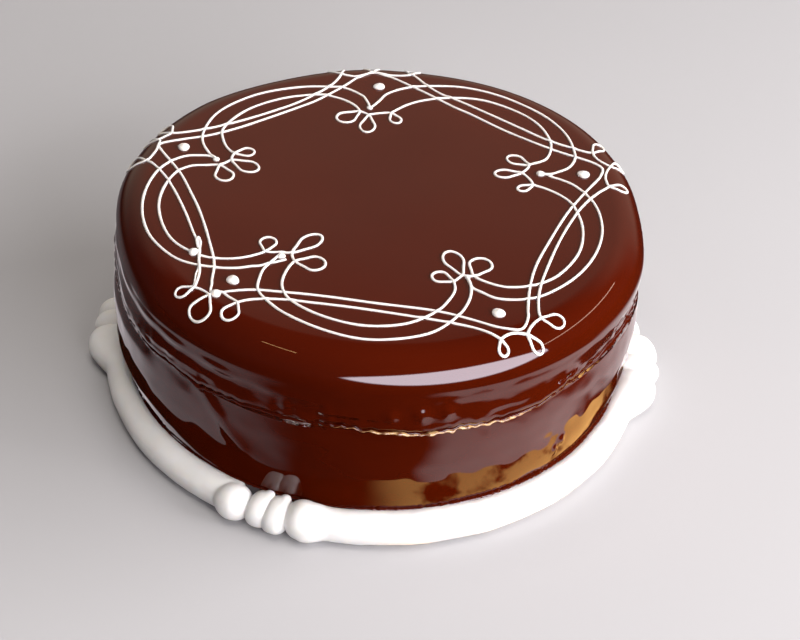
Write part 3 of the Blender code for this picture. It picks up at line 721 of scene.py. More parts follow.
def glazed_body(paint):
    azimuth = np.arange(BODY_SEGMENTS) * 360.0 / BODY_SEGMENTS
    radii, heights = np.array(list(body_rows(azimuth))).transpose(1, 0, 2)
    rows = len(radii)
    grid = around(radii, np.radians(azimuth), heights)
    points, normals = grid.reshape(-1, 3), surface_normals(grid).reshape(-1, 3)
    relief = body_relief(points, np.tile(azimuth, rows), points[:, 2])
    points = points + normals * relief[:, None]
    points[:, 2] = np.maximum(points[:, 2], 0.0)
    points[:BODY_SEGMENTS, 2] = 0.0
    middles = np.array([[0.0, 0.0, BODY_HEIGHT], [0.0, 0.0, 0.0]])
    faces = grid_faces(rows, BODY_SEGMENTS, False)
    last = (rows - 1) * BODY_SEGMENTS
    top, bottom = len(points), len(points) + 1
    for step in range(BODY_SEGMENTS):
        after = (step + 1) % BODY_SEGMENTS
        faces.append([last + step, last + after, top])
        faces.append([after, step, bottom])
    cake_piece("glazed_body", np.vstack([points, middles]), faces, paint)


# ---------------------------------------------------------------- piped lines


def over_surface(spots):
    """Points and outward normals of the body at places measured over its surface from the middle."""
    spots = np.asarray(spots, float)
    azimuth, reach = polar(spots)
    away = np.column_stack([spots / reach[:, None], np.zeros(len(spots))])
    flat = BODY_RADIUS - SHOULDER + bulge(azimuth)
    turn = np.clip((reach - flat) / SHOULDER, 0.0, math.pi / 2)
    radius = np.minimum(reach, flat) + SHOULDER * np.sin(turn)
    down = np.maximum(0.0, reach - flat - SHOULDER * math.pi / 2)
    height = BODY_HEIGHT - SHOULDER * (1 - np.cos(turn)) - down
    points = away * radius[:, None]
    points[:, 2] = height
    normals = away * np.sin(turn)[:, None]
    normals[:, 2] = np.cos(turn)
    points += normals * body_relief(points, azimuth, height)[:, None]
    return points, normals


def place(azimuth, across, out):
    turn = math.radians(azimuth)
    x = out * math.cos(turn) + across * math.sin(turn)
    y = out * math.sin(turn) - across * math.cos(turn)
    return np.array((x, y))


def spots_of(azimuth, places):
    return [place(azimuth, *spot) for spot in places]


def spots_in(frame, row):
    """The places in one row of a corner's or a side's table."""
    return spots_of(frame["azimuth"], frame[row])


def loop_places(azimuth, loop, inward):
    """A teardrop that starts and ends at its crossing and is first run up its clockwise side."""
    across, out, lean, length, width = loop
    turn = math.radians(lean)
    way = -1.0 if inward else 1.0
    along = np.array((math.sin(turn), way * math.cos(turn)))
    side = np.array((math.cos(turn), -way * math.sin(turn)))
    start = np.array((across, out))
    turns = [start + along * (u * length) + side * (v * width) for u, v in LOOP_SHAPE]
    return spots_of(azimuth, [start, *turns, start])


def loops_in(corner, loops, joins, inward):
    """The loops of a corner, with what joins each to the next."""
    spots = []
    for loop, join in zip(corner[loops], (*corner[joins], ())):
        spots += loop_places(corner["azimuth"], loop, inward) + spots_of(corner["azimuth"], join)
    return spots


def curve(spots, closed):
    """A smooth line through the spots."""
    count = len(spots)
    made = []
    for index in range(count if closed else count - 1):
        p1, p2 = spots[index], spots[(index + 1) % count]
        p0 = spots[(index - 1) % count] if closed or index else p1 * 2 - p2
        p3 = spots[(index + 2) % count] if closed or index + 2 < count else p2 * 2 - p1
        d1 = max(np.linalg.norm(p1 - p0), 1e-6) ** 0.5
        d2 = max(np.linalg.norm(p2 - p1), 1e-6) ** 0.5
        d3 = max(np.linalg.norm(p3 - p2), 1e-6) ** 0.5
        m1 = (p1 - p0) / d1 - (p2 - p0) / (d1 + d2) + (p2 - p1) / d2
        m2 = (p2 - p1) / d2 - (p3 - p1) / (d2 + d3) + (p3 - p2) / d3
        m1, m2 = m1 * d2, m2 * d2
        for step in range(CURVE_STEPS):
            t = step / CURVE_STEPS
            a = (2 * t**3 - 3 * t**2 + 1, t**3 - 2 * t**2 + t, -2 * t**3 + 3 * t**2, t**3 - t**2)
            made.append(p1 * a[0] + m1 * a[1] + p2 * a[2] + m2 * a[3])
    if not closed:
        made.append(spots[-1])
    return np.array(made)


def smoothed(values, closed, passes):
    """The values of a line, each drawn towards its neighbours."""
    for _ in range(passes):
        before, after = np.roll(values, 1, axis=0), np.roll(values, -1, axis=0)
        if not closed:
            before[0], after[-1] = values[0], values[-1]
        values = 0.25 * before + 0.5 * values + 0.25 * after
    return values


def even_steps(line, closed):
    """The line again with points a LINE_STEP apart."""
    if closed:
        line = np.vstack([line, line[:1]])
    lengths = np.linalg.norm(np.diff(line, axis=0), axis=1)
    run = np.concatenate([[0.0], np.cumsum(lengths)])
    count = max(4, round(run[-1] / LINE_STEP))
    marks = np.linspace(0.0, run[-1], count + 1)
    if closed:
        marks = marks[:-1]
    line = np.column_stack([np.interp(marks, run, line[:, axis]) for axis in range(2)])
    return smoothed(line, closed, LINE_SMOOTHING)


class Lattice:
    """Lays lines of icing one after another, each resting on the ones that it crosses."""

    def __init__(self, paint):
        self.paint = paint
        self.laid = []
        self.seed = LINE_SEED

    def lift(self, line):
        """How far each point is raised by icing that already lies there, from 0 to 1."""
        first = len(self.laid)
        tree = kdtree.KDTree(first + len(line))
        for index, (x, y) in enumerate([*self.laid, *line]):
            tree.insert((x, y, 0.0), index)
        tree.balance()
        raised = np.zeros(len(line))
        own = round(OWN_LENGTH / LINE_STEP)
        for index, (x, y) in enumerate(line):
            for _, other, away in tree.find_range((x, y, 0.0), CROSSING_REACH):
                if other < first + max(0, index - own):
                    raised[index] = max(raised[index], 1.0 - (away / CROSSING_REACH) ** 2)
        return raised

    def lay(self, name, line, closed, thin_start=False):
        self.seed += 1
        line = even_steps(line, closed)
        raised = smoothed(CROSSING_LIFT * self.lift(line), closed, LIFT_SMOOTHING)
        points, normals = over_surface(line)
        if closed:
            way = np.roll(points, -1, axis=0) - np.roll(points, 1, axis=0)
        else:
            way = np.gradient(points, axis=0)
        side = np.cross(way, normals)
        side /= np.linalg.norm(side, axis=1, keepdims=True)
        run = np.arange(len(points)) * LINE_STEP
        wobble = 1.0
        for share, size, step in LINE_WOBBLES:
            wobble = wobble + share * space_noise(points, size, self.seed + step)
        half = LINE_WIDTH / 2 * wobble
        if thin_start:
            change = smooth_step(run, THIN_LENGTH - THIN_CHANGE, THIN_LENGTH + THIN_CHANGE)
            half = half * (THIN_SHARE + (1.0 - THIN_SHARE) * change)
        tall = (LINE_HEIGHT + LINE_SINK) / 2 * (0.5 + 0.5 * wobble)
        if not closed:
            ends = np.minimum(run, run[-1] - run) / (LINE_WIDTH / 2)
            cap = np.sqrt(np.clip(1.0 - (1.0 - np.clip(ends, 0.0, 1.0)) ** 2, 0.03, 1.0))
            half, tall = half * cap, tall * (0.35 + 0.65 * cap)
        middle = (LINE_HEIGHT - LINE_SINK) / 2 + raised
        angles = circle(LINE_SIDES)
        across = (np.cos(angles) * half[:, None])[:, :, None] * side[:, None, :]
        upward = (np.sin(angles) * tall[:, None] + middle[:, None])[:, :, None] * normals[:, None, :]
        shell = (points[:, None, :] + (across + upward)).reshape(-1, 3)
        self.laid += line.tolist()
        cake_piece(name, shell, tube_faces(len(points), LINE_SIDES, closed), self.paint)

    def dome(self, name, spot, radius, height, peak, seed):
        """A drop of icing with a soft rim, a little out of round, and a small peak."""
        points, normals = over_surface([spot])
        centre, normal = points[0], normals[0]
        side = np.cross(normal, (0.3, 1.0, 0.2))
        side /= np.linalg.norm(side)
        other = np.cross(normal, side)
        angles = circle(DOME_STEPS)
        uneven = 1.0 + 0.05 * np.sin(2 * angles + seed) + 0.04 * np.sin(3 * angles + 2 * seed)
        rings = []
        for wide, high in DOME_PROFILE:
            lift = high * height if high > 0 else high
            lean = peak * max(high - 0.5, 0.0) * radius
            spread = radius * wide * uneven[:, None]
            ring = centre + spread * (np.cos(angles)[:, None] * side + np.sin(angles)[:, None] * other)
            rings.append(ring + normal * lift + side * lean)
        cake_piece(name, np.vstack(rings), tube_faces(len(rings), DOME_STEPS), self.paint)


def pipe_lattice(paint):
    lattice = Lattice(paint)
    spots = []
    for corner, edge in zip(CORNERS, SIDES):
        spots += spots_in(corner, "tip") + spots_in(edge, "inner_line")
    lattice.lay("inner_line", curve(spots, True), True)

    for number, (left, edge) in enumerate(zip(CORNERS, SIDES)):
        right = CORNERS[(number + 1) % len(CORNERS)]
        spots = spots_in(left, "leaving") + spots_in(edge, "outer_arch") + spots_in(right, "arriving")
        lattice.lay("outer_arch_" + left["name"], curve(spots, False), False)

    spots = []
    for corner, edge in zip(CORNERS, SIDES):
        spots += loops_in(corner, "inner", "links", True) + spots_in(edge, "inner_arch")
    lattice.lay("inner_arches", curve(spots, True), True)

    first = 3
    front = CORNERS[first]["azimuth"]
    spots = spots_of(front, OUTER_LINE_START) + spots_in(SIDES[first], "outer_line")
    for number in (4, 0, 1, 2, first):
        spots += loops_in(CORNERS[number], "outer", "swags", False)
        if number != first:
            spots += spots_in(SIDES[number], "outer_line")
    spots += spots_of(front, OUTER_LINE_TAIL)
    lattice.lay("outer_line", curve(spots, False), False, thin_start=True)
    lattice.lay("outer_line_fold", curve(spots_of(front, OUTER_LINE_FOLD), False), False)

    for number, corner in enumerate(CORNERS):
        spot = place(corner["azimuth"], *corner["dot"])
        lattice.dome("dot_" + corner["name"], spot, DOT_RADIUS, DOT_HEIGHT, 0.0, number)
    for number, (corner, across, out, radius, height) in enumerate(LUMPS):
        spot = place(CORNERS[corner]["azimuth"], across, out)
        lattice.dome(f"lump_{number}", spot, radius, height, LUMP_PEAK, number + LUMP_SEED)


# ---------------------------------------------------------------- border


def wall_radius(height, azimuth):
    share = BULGE_SHARE * smooth_step(height, *FOOT_RISE)
    return from_table(height, LOWER_WALL) + share * bulge(azimuth) + side_swell(azimuth, height)


def sweep(stations):
    """Closed shell from (azimuth, centre radius, half width, top) stations."""
    rings = []
    angles = circle(SHELL_SIDES)
    rise = np.sin(angles)
    for azimuth, centre, half, top in stations:
        height = np.where(rise > 0, BED + top * rise, BED - (BED + SWEEP_CUT) * np.abs(rise) ** 0.9)
        rings.append(around(centre + half * np.cos(angles), math.radians(azimuth), height))
    return np.vstack(rings), tube_faces(len(rings), SHELL_SIDES)


def ball(azimuth, centre, middle, sizes, squareness=2.0, lean=0.0):
    """Closed shell of an egg or fat disc at that azimuth. sizes are half lengths round, out and up."""
    angles = circle(SHELL_SIDES)
    rings = []
    for ring in range(1, BALL_RINGS):
        down = math.pi * ring / BALL_RINGS
        flat = np.column_stack([np.cos(angles), np.sin(angles)]) * math.sin(down)
        local = np.column_stack([flat, np.full(SHELL_SIDES, -math.cos(down))])
        disc = np.hypot(local[:, 1], local[:, 2])
        reach = (np.abs(local[:, 0]) ** squareness + disc**squareness) ** (-1 / squareness)
        local = local * reach[:, None] * np.array(sizes)
        local[:, 0] += lean * local[:, 2]
        rings.append(local)
    local = np.vstack(rings)
    turn = math.radians(azimuth)
    tangent = np.array((-math.sin(turn), math.cos(turn), 0.0))
    outward = np.array((math.cos(turn), math.sin(turn), 0.0))
    points = local[:, :1] * tangent + (local[:, 1:2] + centre) * outward
    points[:, 2] += local[:, 2] + middle
    return points, tube_faces(len(rings), SHELL_SIDES)


def skinned(obj, voxel, passes):
    """The object's mesh as one smooth skin over its shells."""
    remesh = obj.modifiers.new("skin", "REMESH")
    remesh.mode = "VOXEL"
    remesh.voxel_size = voxel * MM
    smooth = obj.modifiers.new("soften", "SMOOTH")
    smooth.factor = 0.5
    smooth.iterations = passes
    bpy.context.view_layer.update()
    graph = bpy.context.evaluated_depsgraph_get()
    mesh = bpy.data.meshes.new_from_object(obj.evaluated_get(graph))
    obj.modifiers.clear()
    return mesh


def vertex_values(mesh, name):
    values = np.empty(len(mesh.vertices) * 3)
    mesh.vertices.foreach_get(name, values)
    return values.reshape(-1, 3)


def fused(name, shells, paint, skin, seed):
    """One smooth and uneven skin of icing over the shells, kept out of the cake and the floor."""
    points, faces = [], []
    for shell_points, shell_faces in shells:
        start = sum(len(p) for p in points)
        points.append(shell_points)
        faces += [[start + index for index in face] for face in shell_faces]
    obj = add_mesh(name, np.vstack(points), faces, paint)
    mesh = obj.data = skinned(obj, *skin)
    spots = vertex_values(mesh, "co") / MM
    uneven = sum(lumps(spots, out, size, seed + step) for out, size, step in BORDER_LUMPS)
    spots = spots + vertex_values(mesh, "normal") * uneven[:, None]
    azimuth, reach = polar(spots)
    wanted = np.maximum(reach, wall_radius(spots[:, 2], azimuth) + WALL_GAP)
    spots[:, :2] *= (wanted / reach)[:, None]
    spots[:, 2] = np.maximum(spots[:, 2], 0.0)
    mesh.vertices.foreach_set("co", (spots * MM).ravel())
    mesh.polygons.foreach_set("use_smooth", [True] * len(mesh.polygons))
    mesh.materials.clear()
    mesh.materials.append(paint)
    mesh.update()
    obj.visible_glossy = False
    return body_piece(obj, (name.replace("iced_", ""),))


def rope_stations(marks, reaches):
    """Stations of a rope that swells towards the reach wanted at each mark."""
    for angle in np.linspace(*marks, round(ROPE_STATIONS * (marks[1] - marks[0]))):
        reach, top = ROPE_REACH, ROPE_TOP + ROPE_WAVE * math.sin(math.radians(angle * ROPE_WAVES))
        for mark, wanted in zip(marks, reaches):
            if wanted == BALL_MARK:
                continue
            away = math.radians(abs(angle - mark)) * ROPE_REACH
            near = 1.0 - smooth_step(away, SWELL_FLAT, LONG_SWELL if wanted > FAR_REACH else SWELL_LENGTH)
            reach += near * (wanted - ROPE_REACH)
            top += near * (BULB_TOP - ROPE_TOP)
        half = (reach - BORDER_BACK) / 2
        yield angle, reach - half, half, top


def rope(name, start, end, reaches, paint, seed):
    """A smooth rope of icing that swells into a lobe at each end, or ends in a ball."""
    bulb = math.degrees(BULB_LENGTH / ROPE_REACH)
    marks = [start + bulb, end - bulb]
    stations = list(rope_stations(marks, reaches))
    shells = [sweep(stations)]
    for mark, wanted, side in zip(marks, reaches, (0, -1)):
        if wanted == BALL_MARK:
            shells.append(ball(mark - BALL_TURN, BALL_REACH - BALL_SIZES[1], BALL_SIZES[2], BALL_SIZES))
        else:
            _, centre, half, top = stations[side]
            middle = (top + BED) / 2
            sizes = (BULB_LENGTH, half, middle + FLOOR_CUT)
            shells.append(ball(mark, centre, middle, sizes, BULB_SQUARENESS))
    return fused("iced_" + name, shells, paint, ROPE_SKIN, seed)


def bead(name, start, end, reach, paint, seed):
    """A fat disc of icing that stands against the wall, with a peak."""
    middle = (start + end) / 2
    half = (reach - BORDER_BACK) / 2
    wide = math.radians((end - start) / 2) * (reach - half) + BEAD_OVERLAP
    rise = (BED + BEAD_TOP + (HIGH_BEAD if reach > FAR_REACH else 0.0)) / 2
    shells = [
        ball(middle, reach - half, rise, (wide, half, rise + FLOOR_CUT), BEAD_SQUARENESS, BEAD_LEAN),
        ball(middle + BEAD_PEAK_TURN, BEAD_PEAK_REACH, 2 * rise - BEAD_PEAK_DOWN, BEAD_PEAK),
    ]
    made = fused("iced_" + name, shells, paint, BEAD_SKIN, seed)
    made.visible_glossy = True
    return made


# ---------------------------------------------------------------- thin strips


def ragged_strip(name, azimuth, centre_r, centre_z, strength, closed, paint):
    """A thin uneven strip that lies along the wall."""
    angles = circle(STRIP_SIDES)
    size = strength[:, None]
    radius = centre_r[:, None] + size * STRIP_WIDE * np.cos(angles)
    droop = STRIP_DROOP * size * np.maximum(np.cos(angles), 0.0)
    height = centre_z[:, None] + size * STRIP_TALL * np.sin(angles) - droop
    points = around(radius, np.radians(azimuth)[:, None], height).reshape(-1, 3)
    cake_piece(name, points, tube_faces(len(azimuth), STRIP_SIDES, closed), paint)


def glaze_skirt(paint):
    """The ragged thin edge of chocolate that lies on top of the border."""
    azimuth = np.arange(SKIRT_STEPS) * 360.0 / SKIRT_STEPS
    thicker, centre, half = SKIRT_THICK
    strength = SKIRT_STRENGTH + SKIRT_VARIES * ring_noise(azimuth, 5, 30, 61)
    strength = strength + thicker * bump(azimuth, centre, half)
    ragged = 1.0 + SKIRT_RAGGED * ring_noise(azimuth, 90, 300, 62)
    notches = 1.0 - SKIRT_NOTCH * smooth_step(ring_noise(azimuth, 60, 160, 64), *SKIRT_NOTCHES)
    strength = np.clip(strength * ragged * notches, *SKIRT_LIMITS)
    centre_z = SKIRT_HEIGHT + SKIRT_WAVE * ring_noise(azimuth, 7, 22, 63)
    centre_r = wall_radius(centre_z, azimuth) + SKIRT_OFF_WALL
    ragged_strip("glaze_edge", azimuth, centre_r, centre_z, strength, True, paint)


def ledge_reflection_strip(paint):
    """A raised strip along the lip of the ledge at the front right, coloured pale gold as a painted
    reflection.
    """
    azimuth = np.linspace(*TRIM_RANGE, TRIM_STEPS)
    start, end = TRIM_RANGE
    ends = span(azimuth, start, start + TRIM_ENDS[0], end - TRIM_ENDS[1], end)
    coarse = TRIM_COARSE * ring_noise(azimuth, 20, 120, 71)
    uneven = 1.0 + coarse + TRIM_FINE * ring_noise(azimuth, 120, 260, 72)
    strength = np.maximum(TRIM_LEAST, TRIM_SIZE * ends * uneven)
    centre_z = ledge_line(azimuth) - TRIM_DOWN - TRIM_WAVE * ring_noise(azimuth, 12, 70, 73)
    centre_r = ledge_radius(azimuth, -TRIM_DOWN, TRIM_RADIUS) - TRIM_SUNK
    ragged_strip("ledge_reflection_strip", azimuth, centre_r, centre_z, strength, False, paint)


# ---------------------------------------------------------------- materials

# Colours: the two that a material goes between.
CHOCOLATE = (0.050, 0.0036, 0.0002), (0.059, 0.0046, 0.0003)
# Colours of the strip on the ledge's lip: its pale golden end is a painted reflection.
LEDGE_REFLECTION_COLOURS = (0.16, 0.06, 0.02), (0.50, 0.30, 0.13)
FLOOR_GREYS = (0.415, 0.408, 0.418), (0.455, 0.448, 0.458)
GLOW_DARK = (0.014, 0.006, 0.003, 1.0)
GLOW_GOLD = (2.7, 1.5, 0.47, 1.0)
# The golden part of the glow, in metres: where it begins and is full, rightwards and frontwards.
GOLD_RIGHT = (0.0, 0.025)
GOLD_FRONT = (-0.015, -0.04)
# Icings: (material, tint, scale of the grain, strength of the grain).
LINE_ICING = ("white_line_icing", (0.82, 0.785, 0.765), 900.0, 0.12)
BORDER_ICING = ("white_buttercream", (0.90, 0.885, 0.87), 500.0, 0.2)


class Tree:
    """The nodes of a material, a light or the world."""

    def __init__(self, owner):
        owner.use_nodes = True
        self.nodes, self.links = owner.node_tree.nodes, owner.node_tree.links

    def feed(self, node, inputs):
        """Each input, by its name or number, is set to a value or linked to another node's output."""
        for name, value in inputs.items():
            if isinstance(value, bpy.types.NodeSocket):
                self.links.new(value, node.inputs[name])
            else:
                node.inputs[name].default_value = value

    def add(self, kind, inputs, output=0, **settings):
        """A new node. Its output is returned."""
        made = self.nodes.new("ShaderNode" + kind)
        for name, value in settings.items():
            setattr(made, name, value)
        self.feed(made, inputs)
        return made.outputs[output]

    def noise(self, where, scale, detail=2.0):
        return self.add("TexNoise", {"Vector": where, "Scale": scale, "Detail": detail}, "Fac")

    def ramp(self, value, first, second, start=0.0, end=1.0):
        """A colour that goes from the first to the second as the value goes from start to end."""
        made = self.nodes.new("ShaderNodeValToRGB")
        for stop, at, colour in zip(made.color_ramp.elements, (start, end), (first, second)):
            stop.position = at
            stop.color = (*colour, 1.0)
        self.feed(made, {"Fac": value})
        return made.outputs["Color"]

    def bump(self, height, strength, distance):
        return self.add("Bump", {"Height": height, "Strength": strength, "Distance": distance})

    def maths(self, operation, *values):
        return self.add("Math", dict(enumerate(values)), operation=operation)

    def vector(self, operation, *values, output="Vector"):
        return self.add("VectorMath", dict(enumerate(values)), output, operation=operation)

    def split(self, vector):
        """The outputs X, Y and Z of a vector."""
        made = self.nodes.new("ShaderNodeSeparateXYZ")
        self.feed(made, {"Vector": vector})
        return made.outputs

    def product(self, first, second, third):
        return self.maths("MULTIPLY", self.maths("MULTIPLY", first, second), third)

    def soft_edge(self, value, zero, one):
        """A smooth rise from 0 to 1 as the value goes from zero to one. zero may be the larger."""
        inputs = {"Value": value, "From Min": zero, "From Max": one}
        return self.add("MapRange", inputs, "Result", interpolation_type="SMOOTHSTEP")


def new_material(name):
    """A material, its tree, its shader and where a point is on the object."""
    made = bpy.data.materials.new(name)
    tree = Tree(made)
    return made, tree, tree.nodes["Principled BSDF"], tree.add("TexCoord", {}, "Object")


def chocolate():
    made, tree, shader, where = new_material("chocolate_glaze")
    cloud = tree.noise(where, 18.0, 3.0)
    fine = tree.noise(where, 260.0, 4.0)
    roughness = {"Value": fine, "From Min": 0.3, "From Max": 0.7, "To Min": 0.13, "To Max": 0.22}
    tree.feed(shader, {
        "Base Color": tree.ramp(cloud, *CHOCOLATE, 0.3, 0.75),
        "Roughness": tree.add("MapRange", roughness, "Result"),
        "Specular IOR Level": 0.0,
        "Coat Weight": 1.0,
        "Coat Roughness": 0.03,
        "Coat IOR": 1.5,
        "Normal": tree.bump(fine, 0.01, 0.0006),
    })
    return made


# The strip on the ledge's lip is painted pale gold: a painted reflection, not a colour of the glaze.
def painted_ledge_reflection():
    made, tree, shader, where = new_material("painted_ledge_reflection")
    cloud = tree.noise(where, 420.0, 4.0)
    tree.feed(shader, {
        "Base Color": tree.ramp(cloud, *LEDGE_REFLECTION_COLOURS, 0.4, 0.56),
        "Roughness": 0.3,
        "Coat Weight": 0.6,
        "Coat Roughness": 0.08,
    })
    return made


def icing(name, tint, grain_scale, grain_strength):
    """Creamy icing of that tint, a little darker in soft clouds, with a fine grain."""
    made, tree, shader, where = new_material(name)
    darker = (tint[0] * 0.95, tint[1] * 0.94, tint[2] * 0.92)
    cloud = tree.noise(where, 60.0, 3.0)
    grain = tree.noise(where, grain_scale, 4.0)
    tree.feed(shader, {
        "Base Color": tree.ramp(cloud, darker, tint, 0.3, 0.7),
        "Roughness": 0.42,
        "Specular IOR Level": 0.35,
        "Subsurface Weight": 0.25,
        "Subsurface Radius": (1.0, 0.8, 0.6),
        "Subsurface Scale": 0.0015,
        "Normal": tree.bump(grain, grain_strength, 0.0004),
    })
    return made


def glow_material():
    """Warm light from under the cake: golden at the right, dark at the left, with ragged edges."""
    made, tree, shader, where = new_material("floor_glow")
    x, y, _ = tree.split(where)
    ragged = tree.soft_edge(tree.noise(where, 34.0, 4.0), 0.39, 0.5)
    gold = tree.product(ragged, tree.soft_edge(x, *GOLD_RIGHT), tree.soft_edge(y, *GOLD_FRONT))
    mix = tree.nodes.new("ShaderNodeMix")
    mix.data_type = "RGBA"
    tree.feed(mix, {"Factor": gold, "A": GLOW_DARK, "B": GLOW_GOLD})
    tree.feed(shader, {
        "Emission Color": mix.outputs["Result"],
        "Emission Strength": 1.0,
        "Base Color": (0.0, 0.0, 0.0, 1.0),
        "Specular IOR Level": 0.0,
    })
    return made


def floor_material():
    made, tree, shader, where = new_material("pale_floor")
    tree.feed(shader, {
        "Base Color": tree.ramp(tree.noise(where, 3.0), *FLOOR_GREYS),
        "Roughness": 0.55,
        "Specular IOR Level": 0.0,
    })
    return made


# ---------------------------------------------------------------- stage


# Lights: (name, azimuth, elevation, distance, size, watts, colour, seen in the gloss, lights what is matt).
LIGHTS = (
    ("window_shine", 299.2, 17.0, 1.6, (2.62, 1.2), 119.0, (0.99, 0.94, 1.06), True, False),
    ("far_shine", 5.0, 28.5, 1.6, (1.2, 0.045), 1.7, (1.0, 0.66, 0.50), True, False),
    ("left_shine", 220.0, 58.0, 1.6, (0.34, 0.04), 0.7, (1.0, 0.6, 0.25), True, False),
    ("window", 315.0, 24.0, 1.5, (1.3, 0.8), 29.0, (1.0, 0.98, 1.0), False, True),
    ("side", 0.0, 27.0, 1.5, (1.2, 0.8), 29.0, (1.0, 0.98, 0.99), False, True),
    ("sky", 215.0, 86.0, 1.5, (1.0, 1.0), 14.0, (1.0, 0.94, 0.88), False, True),
)
# Where the matt lights are aimed, in metres above the floor.
LIGHT_AIM = 0.04
# Outline of the soft window: (axis, middle, power), and where it has faded and starts to fade.
WINDOW_SHAPE = (("X", 0.54, 2.0), ("Y", 0.5, 1.3))
WINDOW_FADE = (1.0, 0.72)

# Soft patches of the surroundings, as the gloss sees them: (azimuth, half angle where it is full,
# half angle where it ends, the elevations where it starts, is full, is full still and ends, colour).
SURROUNDINGS = (
    (90.0, 24.0, 60.0, (-12.0, 4.0, 32.0, 50.0), (0.375, 0.31, 0.235)),
    (340.0, 31.0, 46.0, (-66.0, -58.0, -39.0, -35.0), (1.30, 1.14, 1.14)),
    (160.0, 32.0, 78.0, (-62.0, -55.0, -38.0, -33.5), (0.60, 0.55, 0.58)),
    (116.0, 30.0, 52.0, (-60.0, -50.0, -22.0, -12.0), (0.15, 0.135, 0.14)),
    (62.0, 36.0, 51.0, (-43.0, -40.6, -36.0, -28.0), (1.12, 1.03, 1.05)),
)
WORLD_UP = (0.035, 0.035, 0.04)
WORLD_DOWN = (0.02, 0.017, 0.016)
# The two meet between these, where 0 is straight down and 1 is straight up.
HORIZON = (0.46, 0.54)

FLOOR_SIZE = 3.0
GLOW_RADII = (108.0, 124.0)
GLOW_STEPS = 180
GLOW_RAISED = 0.3


def add_camera():
    data = bpy.data.cameras.new("camera")
    data.sensor_fit = "HORIZONTAL"
    data.sensor_width = SENSOR
    data.lens = LENS
    data.clip_start = 0.01
    camera = add_object("camera", data)
    lift, roll = math.radians(CAMERA_ELEVATION), math.radians(CAMERA_ROLL)
    back = Vector((0.0, -math.cos(lift), math.sin(lift)))
    up = Vector((0.0, math.sin(lift), math.cos(lift)))
    side = Vector((1.0, 0.0, 0.0))
    right = side * math.cos(roll) + up * math.sin(roll)
    top = up * math.cos(roll) - side * math.sin(roll)
    turn = Matrix((right, top, back)).transposed().to_4x4()
    spot = (Vector(CAMERA_TARGET) + back * CAMERA_DISTANCE) * MM
    camera.matrix_world = Matrix.Translation(spot) @ turn
    bpy.context.scene.camera = camera


def direction(azimuth, elevation):
    turn, lift = math.radians(azimuth), math.radians(elevation)
    return (math.cos(lift) * math.cos(turn), math.cos(lift) * math.sin(turn), math.sin(lift))


def add_world():
    world = bpy.data.worlds.new("world")
    bpy.context.scene.world = world
    tree = Tree(world)
    way = tree.add("TexCoord", {}, "Generated")
    rise = tree.split(way)["Z"]
    total = tree.ramp(tree.maths("MULTIPLY_ADD", rise, 0.5, 0.5), WORLD_DOWN, WORLD_UP, *HORIZON)
    ahead = tree.vector("NORMALIZE", tree.vector("MULTIPLY", way, (1.0, 1.0, 0.0)))
    for azimuth, full, end, heights, colour in SURROUNDINGS:
        dot = tree.vector("DOT_PRODUCT", ahead, direction(azimuth, 0.0), output="Value")
        starts, low, high, ends = [math.sin(math.radians(angle)) for angle in heights]
        across = tree.soft_edge(dot, math.cos(math.radians(end)), math.cos(math.radians(full)))
        patch = tree.product(across, tree.soft_edge(rise, starts, low), tree.soft_edge(rise, ends, high))
        total = tree.vector("MULTIPLY_ADD", patch, colour, total)
    tree.feed(tree.nodes["Background"], {"Color": total})


def soften(light):
    """Gives a window the soft, tapered outline of a gap between curtains."""
    tree = Tree(light.data)
    place_on = tree.split(tree.add("NewGeometry", {}, "Parametric"))
    parts = []
    for axis, middle, power in WINDOW_SHAPE:
        away = tree.maths("ABSOLUTE", tree.maths("SUBTRACT", place_on[axis], middle))
        scaled = tree.maths("MULTIPLY", away, 1.0 / (0.5 + abs(middle - 0.5)))
        parts.append(tree.maths("POWER", scaled, power))
    strength = tree.soft_edge(tree.maths("ADD", *parts), *WINDOW_FADE)
    tree.feed(tree.nodes["Emission"], {"Strength": strength})


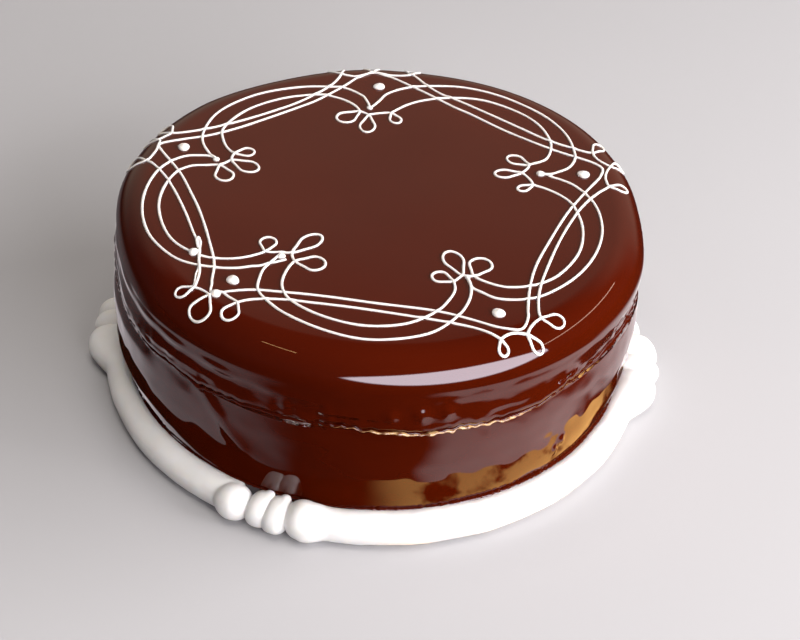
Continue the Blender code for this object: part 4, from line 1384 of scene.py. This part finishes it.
def add_light(name, spot, target, size, power, colour):
    """A rectangular light. Its first size is level."""
    data = bpy.data.lights.new(name, "AREA")
    data.shape = "RECTANGLE"
    data.size, data.size_y = size
    data.energy = power
    data.color = colour
    light = add_object(name, data)
    turn = (Vector(target) - Vector(spot)).to_track_quat("-Z", "Y").to_matrix().to_4x4()
    light.matrix_world = Matrix.Translation(Vector(spot)) @ turn
    return light


def add_lights():
    for name, azimuth, elevation, distance, size, watts, colour, glossy, matt in LIGHTS:
        spot = Vector(direction(azimuth, elevation)) * distance
        target = (0.0, 0.0, spot.z if glossy else LIGHT_AIM)
        light = add_light(name, spot, target, size, watts, colour)
        light.visible_glossy = glossy
        light.visible_diffuse = matt
        if name == "window_shine":
            soften(light)


def add_floor(height):
    size = FLOOR_SIZE
    corners = [(-size, -size, height), (size, -size, height), (size, size, height), (-size, size, height)]
    mesh = bpy.data.meshes.new("floor")
    mesh.from_pydata(corners, [], [(0, 1, 2, 3)])
    mesh.materials.append(floor_material())
    floor = add_object("floor", mesh)
    floor.visible_glossy = False


def add_glow(height):
    """A ring on the floor that only the gloss sees."""
    level = np.full(GLOW_STEPS, height / MM + GLOW_RAISED)
    points = np.vstack([around(radius, circle(GLOW_STEPS), level) for radius in GLOW_RADII])
    glow = add_mesh("floor_glow", points, grid_faces(2, GLOW_STEPS, False), glow_material(), False)
    for hidden in ("camera", "diffuse", "transmission", "shadow"):
        setattr(glow, "visible_" + hidden, False)


def main():
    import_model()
    floor_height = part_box("cake")[0].z
    glaze = chocolate()
    glazed_body(glaze)
    glaze_skirt(glaze)
    # The strip on the ledge's lip gets a painted golden reflection.
    ledge_reflection_strip(painted_ledge_reflection())
    pipe_lattice(icing(*LINE_ICING))
    border = icing(*BORDER_ICING)
    for number, (name, start, end, *reaches) in enumerate(ROPES):
        rope(name, start, end, reaches, border, ROPE_SEED + number)
    for number, (name, start, end, reach) in enumerate(BEADS):
        bead(name, start, end, reach, border, BEAD_SEED + number)
    add_floor(floor_height)
    add_glow(floor_height)
    add_camera()
    add_world()
    add_lights()
    bpy.context.scene.view_settings.view_transform = "Standard"


main()
